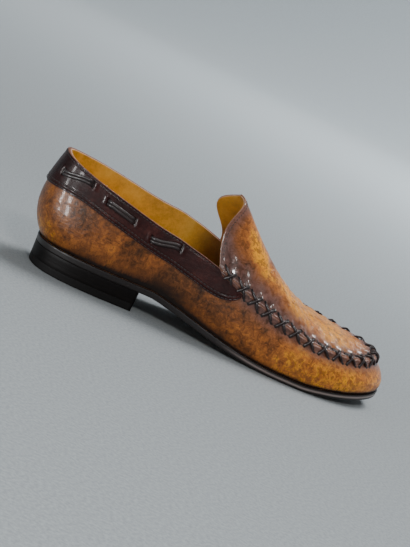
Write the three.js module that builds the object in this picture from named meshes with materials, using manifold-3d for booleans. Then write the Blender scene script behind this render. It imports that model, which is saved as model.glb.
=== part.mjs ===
// A slip-on moccasin dress shoe for the right foot: a leather wall all round, a lace-sewn apron that runs up
// into a tall tongue, a collar band with a lace drawn through it, an insole, an outsole and a low heel.
// Millimetres, +X to the toe, +Y to the inner side of the foot, +Z up.
// The origin is the centre of the heel's rest face, on the floor.
import * as THREE from 'three';
import { mergeVertices } from 'three/addons/utils/BufferGeometryUtils.js';
import Module from 'manifold-3d';

const wasm = await Module();
wasm.setup();

// Main sizes
const SOLE_LENGTH = 288; // outsole, heel to toe
const BALL_WIDTH = 100; // outsole, widest across the ball
const HEEL_HEIGHT = 15.3; // heel block and top lift together
const TOE_SPRING = 10.2; // underside of the outsole above the floor at the toe
const QUARTER_HEIGHT = 64.7; // upper above the outsole, at the back of the heel
const TONGUE_RISE = 50; // crest of the tongue above the topline beside it

// Thicknesses and small sizes
const UPPER_WALL = 1.8; // leather and lining together
const OUTSOLE_THICKNESS = 4.7;
const INSOLE_THICKNESS = 3;
const TOP_LIFT_THICKNESS = 5.5;
const SOLE_MARGIN = 1.6; // outsole beyond the foot of the wall
const EDGE_BEVEL = 0.9; // underside of the outsole inside its upper edge
const HEEL_INSET = 0.6; // heel block inside the outsole
const HEEL_TAPER = 0.8; // rest face inside the top of the heel block
const HEEL_LENGTH = 79; // heel seat, back to breast
const BREAST_HOLLOW = 3;
const BAND_WIDTH = 20;
const BAND_TIP = 2.4; // width of the band where it dies out at the seam
const BAND_END = 1.05; // stations in which it does so
const BAND_EARLY = 0.25; // stations before the tongue where it starts to
const BAND_BACK = 7; // how much wider it is at the back of the heel
const BAND_THICKNESS = 1.2;
const SEAM_RISE = 1.5; // raised seam above the leather beside it
const SEAM_HALF = 3.4; // half the width of the raised seam
const LACE_WIDTH = 2.1;
const LACE_THICKNESS = 1.1;
const CROSS_PITCH = 13; // along the seam
const CROSS_START = 9.5; // first cross from the end of the seam
const CROSS_LENGTH = 7; // along the seam
const CROSS_REACH = 4; // from the seam to each end of a cross
const COLLAR_LACE_LENGTH = 23;
const COLLAR_LACE_DEPTH = 8.6; // middle of the lace below the topline
const COLLAR_LACE_WIDTH = 4.4;
const COLLAR_LACE_PLACES = [0.019, 0.146, 0.28]; // middles of the three visible runs, as shares of SOLE_LENGTH
const CLEARANCE = 0.3; // between curved pieces
const SOLE_CELL = 0.035; // longest facet of the sole, share of its length
const CROSS_ARCH = 0.4; // middle of a cross further off the seam than its ends

const RADIANS = Math.PI / 180;
const UP = new THREE.Vector3(0, 0, 1);

// A table: each row becomes an object whose keys are the column names.
function table(names, rows) {
  const keys = names.split(' ');
  return rows.map((row) => Object.fromEntries(keys.map((key, i) => [key, row[i]])));
}

// Wall stations, from the back of the heel along the outer side, round the toe and back along the inner side.
// along, topAlong: share of SOLE_LENGTH from the back of the sole; side, topSide: share of BALL_WIDTH;
// rise: top edge above the outsole, share of QUARTER_HEIGHT; flare: how the wall leaves the sole, leaning out;
// lean: how it reaches its top edge, leaning in. Both in degrees from upright.
const WALL = table('along side flare topAlong topSide rise lean', [
  [0.004, 0.0, 45, -0.018, 0.0, 0.992, 14],
  [0.025, -0.204, 39, 0.0, -0.173, 0.955, 11],
  [0.092, -0.311, 24, 0.078, -0.265, 0.865, 8],
  [0.191, -0.327, 14, 0.181, -0.296, 0.768, 8],
  [0.304, -0.306, 12, 0.297, -0.306, 0.678, 10],
  [0.425, -0.337, 16, 0.418, -0.347, 0.671, 18],
  [0.545, -0.418, 20, 0.524, -0.378, 0.612, 34],
  [0.658, -0.469, 22, 0.637, -0.388, 0.51, 46],
  [0.765, -0.459, 22, 0.743, -0.367, 0.425, 52],
  [0.857, -0.383, 22, 0.835, -0.296, 0.371, 52],
  [0.928, -0.255, 25, 0.899, -0.184, 0.348, 50],
  [0.976, -0.092, 25, 0.937, -0.051, 0.354, 48],
  [0.989, 0.071, 25, 0.947, 0.082, 0.364, 48],
  [0.968, 0.235, 25, 0.924, 0.214, 0.392, 48],
  [0.91, 0.367, 24, 0.871, 0.306, 0.448, 50],
  [0.821, 0.459, 20, 0.789, 0.367, 0.528, 50],
  [0.715, 0.495, 18, 0.694, 0.388, 0.605, 44],
  [0.602, 0.449, 16, 0.591, 0.378, 0.702, 34],
  [0.481, 0.342, 16, 0.481, 0.352, 0.795, 22],
  [0.368, 0.265, 16, 0.382, 0.321, 0.82, 10],
  [0.269, 0.265, 16, 0.28, 0.291, 0.835, 8],
  [0.177, 0.291, 18, 0.177, 0.276, 0.895, 8],
  [0.088, 0.291, 24, 0.078, 0.25, 0.952, 8],
  [0.025, 0.194, 39, 0.0, 0.163, 0.986, 11],
]);
const APEX = 12; // station of the seam's foremost point
const SEAM_SPAN = 6.9; // stations from there to the end of the seam on the outer side
const INNER_SPAN = 6.25; // and on the inner side

// Apron ribs, evenly spaced from the apex of the seam to the end of the tongue. Each runs from the seam to the
// ridge. along: ridge point, share of SOLE_LENGTH; side: share of BALL_WIDTH; crown: its height above the
// middle of the two seam points, share of TONGUE_RISE; lift: how the rib leaves the seam, in degrees from
// level; shoulder, cap: its lower and upper handles, shares of its length; outerBow, innerBow: how far its
// flanks curl back towards the heel, curl: how far the outer one turns back below and forward above. Those
// three are shares of SOLE_LENGTH.
const APRON = table('along side crown lift shoulder cap outerBow innerBow curl', [
  [0.845, 0.075, 0.1, 20, 0.35, 0.4, 0, 0, 0],
  [0.838, 0.072, 0.118, 20, 0.35, 0.4, 0, 0, 0],
  [0.81, 0.065, 0.158, 24, 0.36, 0.42, 0, 0, 0],
  [0.767, 0.052, 0.19, 28, 0.38, 0.46, 0, 0, 0],
  [0.702, 0.036, 0.24, 38, 0.4, 0.5, 0, 0, 0],
  [0.618, 0.018, 0.41, 58, 0.45, 0.56, 0, 0.002, 0],
  [0.517, 0, 0.67, 72, 0.45, 0.52, 0.006, 0.02, 0.005],
  [0.425, 0, 0.93, 76, 0.43, 0.44, 0.011, 0.051, 0.0146],
]);

// Underside of the outsole: share of SOLE_LENGTH, then shares of HEEL_HEIGHT and TOE_SPRING in its height.
// It is level under the heel seat and at the ball, where it stands on the floor.
const UNDERSIDE = table('along heel spring', [
  [0, 1, 0],
  [0.3, 1, 0],
  [0.36, 0.83, 0],
  [0.446, 0.5, 0],
  [0.535, 0.2, 0],
  [0.62, 0.035, 0],
  [0.67, 0, 0],
  [0.74, 0, 0],
  [0.81, 0, 0.18],
  [0.905, 0, 0.55],
  [1, 0, 1],
]);

// A cubic through evenly spaced rows. A closed one runs on from the last row to the first.
function spline(rows, closed) {
  const keys = Object.keys(rows[0]);
  const count = rows.length;
  const slopes = rows.map(() => Object.fromEntries(keys.map((key) => [key, 0])));
  const at = (list, i) => list[(i + count) % count];
  for (let pass = 0; pass < 60; pass++) {
    for (let i = 0; i < count; i++) {
      for (const key of keys) {
        const first = !closed && i === 0;
        const last = !closed && i === count - 1;
        if (first) slopes[i][key] = (3 * (rows[1][key] - rows[0][key]) - slopes[1][key]) / 2;
        else if (last) slopes[i][key] = (3 * (rows[i][key] - rows[i - 1][key]) - slopes[i - 1][key]) / 2;
        else {
          const chord = 3 * (at(rows, i + 1)[key] - at(rows, i - 1)[key]);
          slopes[i][key] = (chord - at(slopes, i + 1)[key] - at(slopes, i - 1)[key]) / 4;
        }
      }
    }
  }
  return (u) => {
    const cell = closed ? Math.floor(u) : Math.min(Math.max(Math.floor(u), 0), count - 2);
    const i = ((cell % count) + count) % count;
    const j = (i + 1) % count;
    const t = u - cell;
    const value = {};
    for (const key of keys) {
      value[key] =
        rows[i][key] * (1 + t * t * (2 * t - 3)) +
        slopes[i][key] * t * (1 - t) * (1 - t) +
        rows[j][key] * t * t * (3 - 2 * t) -
        slopes[j][key] * t * t * (1 - t);
    }
    return value;
  };
}

// A cubic through unevenly spaced heights that never overshoots, so level runs stay level.
function steady(stations, heights) {
  const secants = heights.slice(1).map((h, i) => (h - heights[i]) / (stations[i + 1] - stations[i]));
  const slopes = heights.map((_, i) => {
    if (i === 0) return secants[0];
    if (i === heights.length - 1) return secants[i - 1];
    const [a, b] = [secants[i - 1], secants[i]];
    return a * b <= 0 ? 0 : (2 * a * b) / (a + b);
  });
  return (x) => {
    const last = stations.length - 2;
    const i = Math.min(Math.max(stations.findIndex((s) => s > x) - 1, 0), last);
    const cell = x >= stations[last + 1] ? last : i;
    const width = stations[cell + 1] - stations[cell];
    const t = (x - stations[cell]) / width;
    return (
      heights[cell] * (1 + t * t * (2 * t - 3)) +
      slopes[cell] * width * t * (1 - t) * (1 - t) +
      heights[cell + 1] * t * t * (3 - 2 * t) -
      slopes[cell + 1] * width * t * t * (1 - t)
    );
  };
}

// Places on the shoe
const BACK = -HEEL_LENGTH / 2 - HEEL_TAPER / 2; // back of the sole, so that the rest face is centred on the origin
const wallAt = spline(WALL, true);
const apronAt = spline(APRON, false);
const underside = steady(
  UNDERSIDE.map((row) => BACK + row.along * SOLE_LENGTH),
  UNDERSIDE.map((row) => row.heel * HEEL_HEIGHT + row.spring * TOE_SPRING),
);
const soleTop = (x) => underside(x) + OUTSOLE_THICKNESS;

// A point of the wall's foot, its feather line.
function foot(u) {
  const row = wallAt(u);
  const x = BACK + row.along * SOLE_LENGTH;
  return new THREE.Vector3(x, row.side * BALL_WIDTH, soleTop(x) + CLEARANCE);
}

// A point of the wall's top edge: the topline, and round the toe the seam.
function edge(u) {
  const row = wallAt(u);
  const base = soleTop(BACK + row.along * SOLE_LENGTH);
  return new THREE.Vector3(
    BACK + row.topAlong * SOLE_LENGTH,
    row.topSide * BALL_WIDTH,
    base + row.rise * QUARTER_HEIGHT,
  );
}

// The level direction that points out of the shoe from a curve round it.
function outward(curve, u) {
  const step = 0.01;
  const along = curve(u + step).sub(curve(u - step));
  return new THREE.Vector3(along.y, -along.x, 0).normalize();
}

function tilted(level, degrees) {
  return level.clone().multiplyScalar(Math.sin(degrees * RADIANS)).addScaledVector(UP, Math.cos(degrees * RADIANS));
}

// The leather's face: u runs round the shoe, v from the foot to the top edge.
function wall(u, v) {
  const row = wallAt(u);
  const low = foot(u);
  const high = edge(u);
  const out = outward(foot, u);
  const handle = 0.4 * low.distanceTo(high);
  const belly = low.clone().addScaledVector(tilted(out, row.flare), handle);
  const shoulder = high.clone().addScaledVector(tilted(out.clone().negate(), row.lean), -handle);
  return new THREE.CubicBezierCurve3(low, belly, shoulder, high).getPoint(v);
}

// The wall's station at a place q along the seam, counted from its apex, below zero on the outer side.
const seamStation = (q) => APEX + q * (q > 0 ? INNER_SPAN / SEAM_SPAN : 1);
const isSewn = (u) => u >= APEX - SEAM_SPAN && u <= APEX + INNER_SPAN;
const seamPlace = (u) => (u > APEX ? ((u - APEX) * SEAM_SPAN) / INNER_SPAN : u - APEX);

// The ridge of the apron, p stations from the apex of the seam.
function ridge(p) {
  const row = apronAt((p / SEAM_SPAN) * (APRON.length - 1));
  const base = (edge(seamStation(-p)).z + edge(seamStation(p)).z) / 2;
  return new THREE.Vector3(BACK + row.along * SOLE_LENGTH, row.side * BALL_WIDTH, base + row.crown * TONGUE_RISE);
}

// How far the direction out from the top edge is tilted up from level, in degrees: halfway between the two
// faces where they meet at the seam, and the wall's own elsewhere.
function seamPitch(u) {
  const lean = wallAt(u).lean;
  if (!isSewn(u)) return lean;
  const share = Math.abs(seamPlace(u)) / SEAM_SPAN;
  return (lean + 90 - apronAt(share * (APRON.length - 1)).lift) / 2;
}

// The apron's face: q counts stations from the apex of the seam, below zero on the outer side, and t runs
// from the seam to the ridge. At the ridge both sides lie on the ridge's own slope.
function apron(q, t) {
  const p = Math.abs(q);
  const row = apronAt((p / SEAM_SPAN) * (APRON.length - 1));
  const u = seamStation(q);
  const up = tilted(outward(edge, u).negate(), seamPitch(u));
  const low = edge(u).addScaledVector(up, CLEARANCE);
  const high = ridge(p);
  const fall = ridge(Math.min(p + 1, SEAM_SPAN)).sub(ridge(Math.max(p - 1, 0)));
  const inward = high.clone().sub(low).setZ(0);
  const half = inward.length();
  inward.normalize();
  const shoulder = tilted(inward, 90 - row.lift).multiplyScalar(row.shoulder * low.distanceTo(high)).add(low);
  const level = inward.clone();
  level.z = (fall.z / fall.x) * inward.x;
  const cap = high.clone().addScaledVector(level, -row.cap * half);
  const point = new THREE.CubicBezierCurve3(low, shoulder, cap, high).getPoint(t);
  const bow = (q > 0 ? row.innerBow : row.outerBow) * Math.sin(Math.PI * t) ** 2;
  const turn = q > 0 ? 0 : row.curl * Math.sin(2 * Math.PI * t);
  point.x -= (bow + turn) * SOLE_LENGTH;
  return point;
}

// The share of a curve, from its start, at which this length along it is reached.
function shareAt(curve, distance) {
  const steps = 24;
  let length = 0;
  let last = curve(0);
  for (let k = 1; k <= steps; k++) {
    const next = curve(k / steps);
    const part = next.distanceTo(last);
    if (length + part >= distance) return (k - 1 + (distance - length) / part) / steps;
    length += part;
    last = next;
  }
  return 1;
}

// The wall's v at a distance below its top edge, and the apron's t at a distance inside the seam.
const below = (u, distance) => 1 - shareAt((t) => wall(u, 1 - t), distance);
const inside = (q, distance) => shareAt((t) => apron(q, t), distance);

// The face's own direction out, from two small steps along it.
function facing(surface, s, t, stepS, stepT) {
  const alongS = surface(s + stepS, t).sub(surface(s - stepS, t));
  const alongT = surface(s, t + stepT).sub(surface(s, t - stepT));
  return alongS.cross(alongT).normalize();
}
const wallOut = (u, v) => facing(wall, u, Math.min(v, 0.99), 0.02, 0.005);
const apronOut = (q, t) => {
  if (t < 1) return facing(apron, q, Math.max(t, 0.02), 0.02, 0.01);
  const sides = [q, -q].map((side) => facing(apron, side, 0.98, 0.02, 0.01));
  return sides[0].add(sides[1]).normalize();
};

// The direction out from the top edge. At the seam both edges are cut along it.
const miter = (u) => tilted(outward(edge, u), 90 - seamPitch(u));

// Steps of the raised seam's section from its foot to the seam, as shares of its half width: it slopes up
// between the first two and is level from there.
const SEAM_STEPS = [1, 0.4, 0];

// How far the face stands out at the raised seam, by distance from the top edge.
function seamRise(distance, u) {
  const slope = THREE.MathUtils.clamp((SEAM_STEPS[0] - distance / SEAM_HALF) / (SEAM_STEPS[0] - SEAM_STEPS[1]), 0, 1);
  const ending = THREE.MathUtils.smoothstep(SEAM_SPAN + 0.1 - Math.abs(seamPlace(u)), 0, 0.5);
  return SEAM_RISE * slope * ending;
}

// Solids

// A closed solid between two matching grids of points, the outer facing out where its columns cross its rows.
// Outer points that lie together are one, so a grid may close on itself, and faces that shrink to a line go.
function sheet(outer, inner) {
  const rows = outer[0].length;
  const upper = [];
  const lower = [];
  const known = new Map();
  const id = (i, j) => {
    const key = outer[i][j].toArray().map((value) => Math.round(value * 500)).join(' ');
    if (!known.has(key)) {
      known.set(key, upper.length);
      upper.push(outer[i][j]);
      lower.push(inner[i][j]);
    }
    return known.get(key);
  };
  const faces = [];
  for (let i = 0; i < outer.length - 1; i++) {
    for (let j = 0; j < rows - 1; j++) {
      const [a, b, c, d] = [id(i, j), id(i + 1, j), id(i + 1, j + 1), id(i, j + 1)];
      for (const face of [[a, b, c], [a, c, d]]) if (new Set(face).size === 3) faces.push(face);
    }
  }
  const edges = new Set(faces.flatMap(([a, b, c]) => [`${a} ${b}`, `${b} ${c}`, `${c} ${a}`]));
  const under = upper.length;
  const backs = faces.map(([a, b, c]) => [a + under, c + under, b + under]);
  const rims = [];
  for (const key of edges) {
    const [a, b] = key.split(' ').map(Number);
    if (!edges.has(`${b} ${a}`)) rims.push([b, a, a + under], [b, a + under, b + under]);
  }
  const loose = new THREE.BufferGeometry().setFromPoints([...upper, ...lower]);
  loose.setIndex([...faces, ...backs, ...rims].flat());
  return mergeVertices(loose, 1e-4);
}

const spread = (count, from, to) => Array.from({ length: count + 1 }, (_, i) => from + ((to - from) * i) / count);
const grid = (us, vs, make) => us.map((u) => vs.map((v) => make(u, v)));

// Two faces of leather from a grid of places on one surface: the outer stands out by the rise there, the
// inner lies a wall below.
function leather(places, surface, normal, rise) {
  const lifted = (lift) =>
    places.map((column) => column.map((place) => surface(place).addScaledVector(normal(place), lift(place))));
  return sheet(lifted(rise), lifted(() => -UPPER_WALL));
}

// Both pieces have their facets in step along the seam.
const HALF_SEAM = spread(24, 0, SEAM_SPAN);
const SEAM_STATIONS = [...HALF_SEAM.slice(1).reverse().map((q) => -q), ...HALF_SEAM];

function upperShape() {
  const levels = [0, 0.2, 0.42, 0.64, 0.84];
  const start = seamStation(-SEAM_SPAN);
  const collar = spread(38, seamStation(SEAM_SPAN), WALL.length + start).slice(1, -1);
  const places = [...SEAM_STATIONS.map(seamStation), ...collar, start].map((u) => {
    const seam = SEAM_STEPS.map((step) => below(u, step * SEAM_HALF));
    return [...levels.map((level) => level * seam[0]), ...seam].map((v) => [u, v]);
  });
  const normal = ([u, v]) => (v === 1 ? miter(u) : wallOut(u, v));
  const rise = ([u, v]) => seamRise(v === 1 ? 0 : wall(u, v).distanceTo(edge(u)), u);
  return leather(places, ([u, v]) => wall(u, v), normal, rise);
}

function apronShape() {
  const levels = [0.25, 0.5, 0.75, 1];
  const places = SEAM_STATIONS.map((q) => {
    const seam = SEAM_STEPS.map((step) => inside(q, step * SEAM_HALF)).reverse();
    return [...seam, ...levels.map((level) => seam[2] + (1 - seam[2]) * level)].map((t) => [q, t]);
  });
  const normal = ([q, t]) => (t === 0 ? miter(seamStation(q)) : apronOut(q, t));
  const rise = ([q, t]) => seamRise(t === 0 ? 0 : apron(q, t).distanceTo(edge(seamStation(q))), seamStation(q));
  return leather(places, ([q, t]) => apron(q, t), normal, rise);
}

// A line round the shoe, this far outside the wall's foot, as the side of the sole at each place along it.
function outline(margin) {
  const count = 480;
  const points = spread(count, 0, WALL.length).map((u) => foot(u).addScaledVector(outward(foot, u), margin));
  const xs = points.map((point) => point.x);
  const heel = xs.indexOf(Math.min(...xs));
  const toe = xs.indexOf(Math.max(...xs));
  const half = (steps) => steps.map((k) => points[(k + count) % count]);
  const from = heel > count / 2 ? heel - count : heel;
  const outer = half(Array.from({ length: toe - from + 1 }, (_, i) => from + i));
  const inner = half(Array.from({ length: count - toe + from + 1 }, (_, i) => from + count - i));
  const side = (line, x) => {
    const k = Math.min(Math.max(line.findIndex((point) => point.x >= x), 1), line.length - 1);
    const t = THREE.MathUtils.clamp((x - line[k - 1].x) / (line[k].x - line[k - 1].x), 0, 1);
    return line[k - 1].y + (line[k].y - line[k - 1].y) * t;
  };
  return { back: xs[heel], front: xs[toe], at: (x, b) => THREE.MathUtils.lerp(side(outer, x), side(inner, x), b) };
}

// A level-sided slab between two outlines, with stations at every joint of the sole's underside.
function slab(upper, lower, top, bottom) {
  const across = [0, 0.25, 0.5, 0.75, 1];
  const joints = UNDERSIDE.map((row) => row.along);
  const stations = joints.slice(1).flatMap((joint, i) => {
    const ease = [(t) => 1 - Math.cos((t * Math.PI) / 2), (t) => t, (t) => Math.sin((t * Math.PI) / 2)];
    const ends = i === 0 ? 0 : i === joints.length - 2 ? 2 : 1;
    const cells = [9, Math.max(1, Math.round((joint - joints[i]) / SOLE_CELL)), 8][ends];
    return spread(cells, 0, 1).slice(i && 1).map((t) => joints[i] + (joint - joints[i]) * ease[ends](t));
  });
  const place = (shape, height) => (s, b) => {
    const share = s * (1 - s);
    const x = share ? BACK + s * SOLE_LENGTH : s ? shape.front : shape.back;
    const held = THREE.MathUtils.clamp(x, shape.back, shape.front);
    return new THREE.Vector3(held, shape.at(held, b), height(held));
  };
  return sheet(grid(stations, across, place(upper, top)), grid(stations, across, place(lower, bottom)));
}

const outsoleShape = () =>
  slab(outline(SOLE_MARGIN), outline(SOLE_MARGIN - EDGE_BEVEL), soleTop, underside);

function insoleShape() {
  const shape = outline(-UPPER_WALL - 2 * CLEARANCE);
  const bed = (x) => soleTop(x) + CLEARANCE;
  return slab(shape, shape, (x) => bed(x) + INSOLE_THICKNESS, bed);
}

// A layer of the heel between two levels. Its outline shrinks by the taper towards the floor.
function heelLayer(low, high) {
  const back = outline(0).back - SOLE_MARGIN + HEEL_INSET;
  const place = (z) => (s, b) => {
    const taper = HEEL_TAPER * (1 - z / HEEL_HEIGHT);
    const shape = outline(SOLE_MARGIN - HEEL_INSET - taper);
    const hollow = BREAST_HOLLOW * (1 - (2 * b - 1) ** 2) * s ** 4;
    const x = shape.back + s * (back + HEEL_LENGTH - shape.back);
    return new THREE.Vector3(x - hollow, shape.at(x, b), z);
  };
  const stations = spread(16, 0, Math.PI / 2).map((angle) => 1 - Math.cos(angle));
  const across = spread(6, 0, 1);
  return sheet(grid(stations, across, place(high)), grid(stations, across, place(low)));
}

// Distance round the shoe is measured on its top edge.
function edgeLength(u) {
  return edge(u + 0.01).distanceTo(edge(u - 0.01)) / 0.02;
}

// The band's lower edge keeps its distance from the topline, drops a little round the back, and rounds up to
// die out under the seam. Its upper edge drops clear of the crosses where the topline becomes the seam.
function bandShape() {
  const sewn = CROSS_REACH + LACE_WIDTH / 2 + CLEARANCE;
  const reach = Math.sqrt(1 - ((sewn + BAND_TIP) / BAND_WIDTH) ** 2);
  const starts = { outer: APEX - SEAM_SPAN, inner: WALL.length - APEX - INNER_SPAN };
  const start = (u) => (u < 0 ? starts.inner : starts.outer);
  const top = (u) => sewn * THREE.MathUtils.smoothstep(Math.abs(u), start(u) - 0.3, start(u) + 0.1);
  const bottom = (u) => {
    const past = Math.max(Math.abs(u) - start(u) + BAND_EARLY, 0) / BAND_END;
    const back = BAND_BACK * (1 - THREE.MathUtils.smoothstep(Math.abs(u), 0, 2));
    return back + BAND_WIDTH * Math.sqrt(1 - past * past);
  };
  const place = (lift) => (u, t) => {
    const v = below(u, THREE.MathUtils.lerp(bottom(u), top(u), t));
    return wall(u, v).addScaledVector(wallOut(u, v), lift);
  };
  const tip = BAND_END * reach - BAND_EARLY;
  const around = spread(52, -starts.inner - tip, starts.outer + tip);
  const across = [0, 0.33, 0.67, 1];
  return sheet(
    grid(around, across, place(CLEARANCE + BAND_THICKNESS)),
    grid(around, across, place(CLEARANCE)),
  );
}

// One visible run of the collar lace, flat over the band.
function collarLaceShape(middle) {
  const place = (lift) => (u, t) => {
    const v = below(u, COLLAR_LACE_DEPTH + (0.5 - t) * COLLAR_LACE_WIDTH);
    return wall(u, v).addScaledVector(wallOut(u, v), lift);
  };
  const half = COLLAR_LACE_LENGTH / 2 / edgeLength(middle);
  const around = spread(6, middle - half, middle + half);
  const base = 2 * CLEARANCE + BAND_THICKNESS;
  return sheet(
    grid(around, [0, 1], place(base + LACE_THICKNESS)),
    grid(around, [0, 1], place(base)),
  );
}

// The station where the topline has come this far along the sole, on the outer or the inner side.
function stationAlong(share, inner) {
  let [near, far] = inner ? [WALL.length, APEX] : [0, APEX];
  for (let pass = 0; pass < 40; pass++) {
    const middle = (near + far) / 2;
    if ((edge(middle).x - BACK) / SOLE_LENGTH < share) near = middle;
    else far = middle;
  }
  return (near + far) / 2;
}

// A place on the outer skin beside the seam: a distance below zero lies on the wall, above it on the apron.
function seamSkin(u, distance, lift) {
  const reach = Math.abs(distance);
  const q = seamPlace(u);
  const onWall = distance < 0;
  const v = below(u, reach);
  const t = inside(q, reach);
  const point = onWall ? wall(u, v) : apron(q, t);
  const face = onWall ? wallOut(u, v) : apronOut(q, t);
  const turned = Math.min(reach / (SEAM_STEPS[1] * SEAM_HALF), 1);
  const normal = miter(u).lerp(face, turned).normalize();
  return point.addScaledVector(normal, lift + seamRise(reach, u));
}

// Two laces crossed over the seam, joined where they cross.
function crossShape(middle) {
  const scale = edgeLength(middle);
  const size = Math.hypot(CROSS_LENGTH / 2, CROSS_REACH);
  const bar = (lean) => {
    const place = (lift) => (s, t) => {
      const along = (s * lean * CROSS_LENGTH) / 2 + (t * LACE_WIDTH * CROSS_REACH) / size;
      const across = s * CROSS_REACH - (t * lean * LACE_WIDTH * CROSS_LENGTH) / 2 / size;
      return seamSkin(middle + along / scale, across, lift + CROSS_ARCH * (1 - s * s));
    };
    const path = [-1, -0.35, 0, 0.35, 1];
    const edges = [0.5, -0.5];
    const face = grid(path, edges, place(CLEARANCE + LACE_THICKNESS));
    return body(sheet(face, grid(path, edges, place(CLEARANCE))));
  };
  return shape(bar(-1).add(bar(1)));
}

// Solids for cutting and joining, and back
function body(geometry) {
  const vertProperties = new Float32Array(geometry.attributes.position.array);
  const triVerts = new Uint32Array(geometry.index.array);
  return new wasm.Manifold(new wasm.Mesh({ numProp: 3, vertProperties, triVerts }));
}

function shape(joined) {
  const mesh = joined.getMesh();
  const geometry = new THREE.BufferGeometry();
  geometry.setAttribute('position', new THREE.BufferAttribute(mesh.vertProperties, 3));
  geometry.setIndex([...mesh.triVerts]);
  return geometry;
}

// Stations of the crosses, spread evenly along the seam from the tongue's one end to its other.
function crossStations() {
  const us = spread(600, seamStation(-SEAM_SPAN), seamStation(SEAM_SPAN));
  const lengths = [0];
  for (let k = 1; k < us.length; k++) lengths.push(lengths[k - 1] + edge(us[k]).distanceTo(edge(us[k - 1])));
  const sewn = lengths.at(-1) - 2 * CROSS_START;
  const places = spread(Math.round(sewn / CROSS_PITCH), CROSS_START, CROSS_START + sewn);
  return places.map((place) => us[lengths.findIndex((length) => length >= place)]);
}

// Finishes and assembly
const finish = (color, roughness) => new THREE.MeshStandardMaterial({ color, roughness, metalness: 0 });
const TAN_LEATHER = finish(0xa9652a, 0.32);
const BAND_LEATHER = finish(0x3e241f, 0.36);
const LINING_LEATHER = finish(0xa8761c, 0.55);
const SOLE_LEATHER = finish(0x2a1c16, 0.45);
const HEEL_LEATHER = finish(0x231a17, 0.4);
const RUBBER = finish(0x1c1917, 0.7);
const LACE = finish(0x241814, 0.6);

const shoe = new THREE.Group();
shoe.name = 'loafer_right';

function add(name, geometry, material) {
  geometry.computeVertexNormals();
  const mesh = new THREE.Mesh(geometry, material);
  mesh.name = name;
  shoe.add(mesh);
}

add('outsole', outsoleShape(), SOLE_LEATHER);
add('insole', insoleShape(), LINING_LEATHER);
add('upper', upperShape(), TAN_LEATHER);
add('apron', apronShape(), TAN_LEATHER);
add('heel_block', heelLayer(TOP_LIFT_THICKNESS, HEEL_HEIGHT), HEEL_LEATHER);
add('top_lift', heelLayer(0, TOP_LIFT_THICKNESS), RUBBER);
add('collar_band', bandShape(), BAND_LEATHER);

crossStations().forEach((u, i) => add(`seam_cross_${String(i + 1).padStart(2, '0')}`, crossShape(u), LACE));

for (const [side, inner] of [['outer', false], ['inner', true]]) {
  COLLAR_LACE_PLACES.forEach((share, i) =>
    add(`collar_lace_${side}_${i + 1}`, collarLaceShape(stationAlong(share, inner)), LACE),
  );
}

export default shoe;
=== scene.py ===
"""A slip-on moccasin dress shoe for the right foot, dressed over its packed construction.

Shapes are worked out in millimetres, +X to the toe, +Y to the inner side of the foot, +Z up, with the
origin at the centre of the heel's rest face, and become metres where a mesh is made.
"""
import math
from types import SimpleNamespace

import bmesh
import bpy
import numpy as np
from mathutils import Matrix, Vector


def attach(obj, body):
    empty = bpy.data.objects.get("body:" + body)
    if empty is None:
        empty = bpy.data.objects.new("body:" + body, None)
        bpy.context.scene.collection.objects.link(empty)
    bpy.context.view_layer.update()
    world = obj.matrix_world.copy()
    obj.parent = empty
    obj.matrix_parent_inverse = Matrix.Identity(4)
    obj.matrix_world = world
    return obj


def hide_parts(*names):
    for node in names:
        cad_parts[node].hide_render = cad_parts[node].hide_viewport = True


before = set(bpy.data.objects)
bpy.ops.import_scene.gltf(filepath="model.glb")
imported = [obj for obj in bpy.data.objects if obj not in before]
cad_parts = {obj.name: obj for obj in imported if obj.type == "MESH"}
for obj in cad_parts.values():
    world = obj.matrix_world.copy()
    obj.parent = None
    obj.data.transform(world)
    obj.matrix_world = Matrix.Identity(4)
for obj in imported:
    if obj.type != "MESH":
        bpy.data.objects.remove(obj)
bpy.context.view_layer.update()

METRES = 0.001
UP = np.array([0.0, 0.0, 1.0])

# Main sizes of the construction
SOLE_LENGTH = 288
BALL_WIDTH = 100
HEEL_HEIGHT = 15.3
TOE_SPRING = 10.2
QUARTER_HEIGHT = 64.7
TONGUE_RISE = 50
UPPER_WALL = 1.8
OUTSOLE_THICKNESS = 4.7
INSOLE_THICKNESS = 3
TOP_LIFT_THICKNESS = 5.5
SOLE_MARGIN = 1.6
EDGE_BEVEL = 0.9
HEEL_INSET = 0.6
HEEL_TAPER = 0.8
HEEL_LENGTH = 79
BREAST_HOLLOW = 3
BAND_WIDTH = 20
BAND_TIP = 2.4
BAND_END = 1.05
BAND_EARLY = 0.25
BAND_BACK = 7
BAND_THICKNESS = 1.2
SEAM_RISE = 1.5
SEAM_HALF = 3.4
LACE_WIDTH = 2.1
CROSS_PITCH = 13
CROSS_START = 9.5
CROSS_LENGTH = 7
CROSS_REACH = 4
COLLAR_LACE_LENGTH = 23
COLLAR_LACE_DEPTH = 8.6
COLLAR_LACE_WIDTH = 4.4
COLLAR_LACE_PLACES = [0.019, 0.146, 0.28]
CLEARANCE = 0.3

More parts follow.
